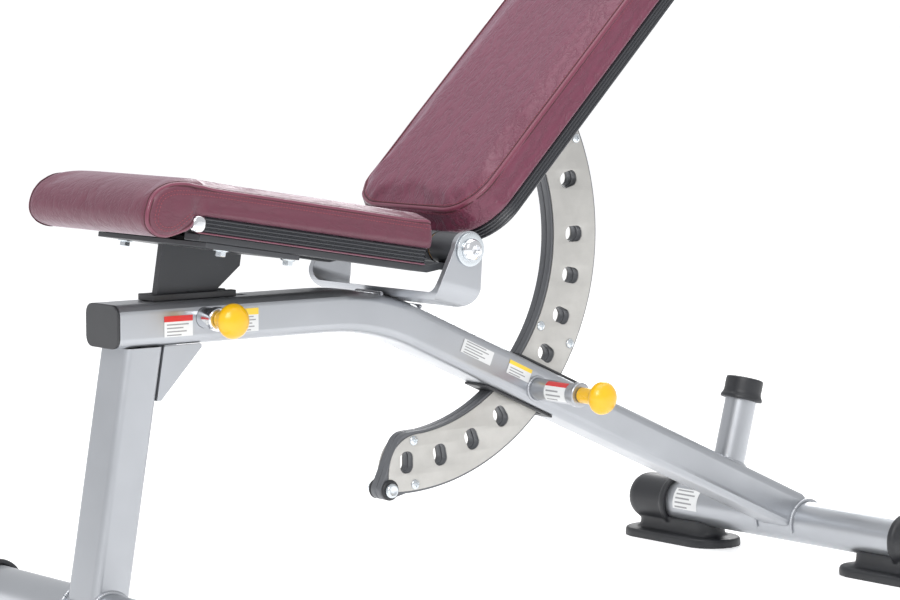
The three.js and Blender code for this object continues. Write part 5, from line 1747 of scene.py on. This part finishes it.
# ---- Stickers ------------------------------------------------------------------------------
@dataclass
class StickerSet:
    """Plain stickers on the beam, the back pin's barrel and the rear foot, without lettering."""

    body: str = "frame"
    side: float = -33.35

    def patch(self, name: str, grid: Array, outward: Array, band: Band, rows: float) -> None:
        """One sticker over a grid of points in millimetres, rows from its foot to its top.

        Args:
            name: The object's name.
            grid: Points of its back face.
            outward: The direction its printed face looks at each point.
            band: The heading band's colour.
            rows: How many printed bars it has room for.
        """
        tall, wide = grid.shape[:2]
        shell = np.stack([grid, grid + outward * 0.22])
        points = LEVEL.metres(shell.reshape(-1, 3))
        i, j = np.meshgrid(np.arange(tall - 1), np.arange(wide - 1), indexing="ij")
        quad = np.stack(
            [i * wide + j, i * wide + j + 1, (i + 1) * wide + j + 1, (i + 1) * wide + j], -1
        ).reshape(-1, 4)
        rim = np.concatenate(
            [
                np.arange(wide), np.arange(2 * wide - 1, tall * wide, wide),
                np.arange(tall * wide - 2, (tall - 1) * wide - 1, -1),
                np.arange((tall - 2) * wide, 0, -wide)
            ]
        )
        size = tall * wide
        wall = np.stack([rim, np.roll(rim, -1), np.roll(rim, -1) + size, rim + size], 1)
        made = mesh_object(name, points, np.vstack([quad, quad + size, wall]).tolist())
        layer = made.data.uv_layers.new(name="print")
        index = np.empty(len(made.data.loops), np.int32)
        made.data.loops.foreach_get("vertex_index", index)
        up, across = np.divmod(index % size, wide)
        layer.data.foreach_set(
            "uv", np.stack([across / (wide - 1), up / (tall - 1)], 1).ravel().astype(np.float32)
        )
        shape = bmesh.new()
        shape.from_mesh(made.data)
        bmesh.ops.recalc_face_normals(shape, faces=shape.faces)
        shape.to_mesh(made.data)
        shape.free()
        finish = Sticker(
            f"sticker {band.name.lower()} {rows:.0f}", "silver_paint", PAPER, 0.35, 0.0, 0.02, 0.004,
            900.0, 0.2, 0.2, band, rows
        )
        fit_out(smooth(made, 40), finish, self.body)

    def flat(
        self, name: str, start: tuple[float, float], along: tuple[float, float],
        up: tuple[float, float], band: Band, rows: float
    ) -> None:
        """A flat sticker on the beam's near side, from its lower front corner."""
        s, t = np.meshgrid(np.linspace(0, 1, 4), np.linspace(0, 1, 4))
        x = start[0] + s * along[0] + t * up[0]
        z = start[1] + s * along[1] + t * up[1]
        grid = np.stack([x, np.full_like(x, self.side), z], -1)
        self.patch(name, grid, np.array([0, -1.0, 0]), band, rows)

    def wrapped(
        self, name: str, centre: tuple[float, float], radius: float, angles: tuple[float, float],
        span: tuple[float, float], band: Band, rows: float
    ) -> None:
        """A sticker wrapped part-way round a bar that runs across the bench."""
        turn, y = np.meshgrid(np.linspace(*angles, 20), np.linspace(*span, 4), indexing="ij")
        way = np.stack([np.cos(np.radians(turn)), np.zeros_like(turn), np.sin(np.radians(turn))], -1)
        grid = np.stack([centre[0] + radius * way[..., 0], y, centre[1] + radius * way[..., 2]], -1)
        self.patch(name, grid, way, band, rows)

    def build(self) -> None:
        """Places the six stickers."""
        slope = math.radians(BEAM_SLOPE)
        down, square = np.array(
            [math.cos(slope), -math.sin(slope)]
        ), np.array([math.sin(slope), math.cos(slope)])
        self.flat("sticker_front", (-366, -88.5), (39, 0), (0, 24), Band.RED, 6)
        self.flat("sticker_pin", (-262, -89.0), (27, 0), (0, 27), Band.YELLOW, 7)
        self.flat(
            "sticker_slope_long", (66, -133.6), tuple(down * 51), tuple(square * 17), Band.NONE, 5
        )
        self.flat(
            "sticker_slope_short", (138.5, -164.4), tuple(down * 39), tuple(square * 17), Band.YELLOW, 5
        )
        pin = polar(266.7, -45.0)
        self.wrapped(
            "sticker_barrel", (float(pin[0]), float(pin[1])), 13.62, (228, 112), (-62, -101), Band.RED,
            5
        )
        self.wrapped("sticker_foot", (661.0, -404.0), 28.62, (192, 132), (200, 152), Band.NONE, 5)


# ---- Stage ---------------------------------------------------------------------------------
@dataclass
class Studio:
    """Camera, pale floor and soft lights."""

    lens: float = 132.2
    position: tuple[float, float, float] = (-2448.0, -3151.0, 301.0)
    forward: tuple[float, float, float] = (0.6226, 0.7771, -0.0924)

    def camera(self) -> None:
        """The camera, level from side to side."""
        data = bpy.data.cameras.new("view")
        data.lens, data.sensor_width = self.lens, 36.0
        data.clip_end = 200.0
        eye = bpy.data.objects.new("view", data)
        eye.location = LEVEL.metres(np.array(self.position))
        eye.rotation_euler = Vector(self.forward).to_track_quat("-Z", "Y").to_euler()
        bpy.context.scene.collection.objects.link(eye)
        bpy.context.scene.camera = eye

    def lamp(
        self, name: str, power: float, size: float, at: Sequence[float], target: Sequence[float]
    ) -> None:
        """A square area light aimed at a point, both in metres."""
        data = bpy.data.lights.new(name, "AREA")
        data.energy, data.size = power, size
        made = bpy.data.objects.new(name, data)
        made.location = at
        made.rotation_euler = (Vector(target) - Vector(at)).to_track_quat("-Z", "Y").to_euler()
        bpy.context.scene.collection.objects.link(made)

    def floor(self) -> None:
        """A wide pale floor with a faint mottle."""
        side = np.linspace(-60, 60, 5)
        x, y = np.meshgrid(side, side, indexing="ij")
        made = skin(
            "studio_floor", np.stack([x, y, np.zeros_like(x)], -1), wrap_columns=False, caps=False
        )
        material = bpy.data.materials.new("studio floor")
        material.use_nodes = True
        material.node_tree.nodes.clear()
        graph = Graph(material.node_tree)
        position = graph.add("ShaderNodeTexCoord").outputs["Object"]
        colour = graph.mix(graph.noise(position, 3.0), (0.86, 0.86, 0.865, 1), (0.88, 0.88, 0.88, 1))
        shader = graph.add("ShaderNodeBsdfPrincipled", {
            "Base Color": colour, "Roughness": 0.8, "Emission Color": (1, 1, 1, 1), "Emission Strength": 0.42})
        graph.add("ShaderNodeOutputMaterial", {"Surface": shader.outputs["BSDF"]})
        made.data.materials.append(material)

    def build(self) -> None:
        """Sets the stage."""
        self.camera()
        self.floor()
        world = bpy.data.worlds.new("studio")
        bpy.context.scene.world = world
        world.use_nodes = True
        graph = Graph(world.node_tree)
        seen = graph.add("ShaderNodeLightPath").outputs["Is Camera Ray"]
        strength = graph.remap(seen, 0.0, 1.0, 0.72, 1.3)
        sky = world.node_tree.nodes["Background"]
        sky.inputs["Color"].default_value = (0.97, 0.98, 1.0, 1)
        world.node_tree.links.new(strength, sky.inputs["Strength"])
        self.lamp("key", 95.0, 2.2, (-2.6, -2.4, 2.9), (0.0, 0.0, 0.4))
        self.lamp("top", 60.0, 3.0, (0.4, 0.2, 3.4), (0.0, 0.0, 0.4))
        self.lamp("rim", 45.0, 1.6, (2.6, 2.2, 2.0), (0.0, 0.0, 0.5))
        bpy.context.scene.view_settings.view_transform = "Standard"


KEPT = {
    "back_pin": CHROME, "seat_pin": CHROME, "back_pin_spring": SPRING, "seat_pin_spring": SPRING,
}


def dress_kept_nodes() -> None:
    """Gives every CAD node that still shows its finish."""
    for node, finish in KEPT.items():
        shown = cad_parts[node]
        shown.data.materials.clear()
        shown.data.materials.append(finish.material())
        log.info("%s: %s, CAD shape", node, finish.name)


def main() -> None:
    """Builds the bench's looks in order."""
    logging.basicConfig(level=logging.INFO, format="%(name)s: %(message)s")
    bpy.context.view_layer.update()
    Studio().build()
    BeamFrame().build()
    HingeSet().build()
    pin = polar(266.7, -45.0)
    PullPin(
        "back_pin", (float(pin[0]), float(pin[1])), 9.0, 13.5, -33.3, -117.3, 36.0, "back_puller",
        SILVER
    ).build()
    PullPin("seat_pin", (-310.0, -69.0), 6.0, 12.0, -17.0, -63.0, 24.0, "seat_puller", CHROME).build()
    ArcPlate().build()
    BackFrame().build()
    BackPad().build()
    SeatPad().build()
    StickerSet().build()
    dress_kept_nodes()


if __name__ == "__main__":
    main()
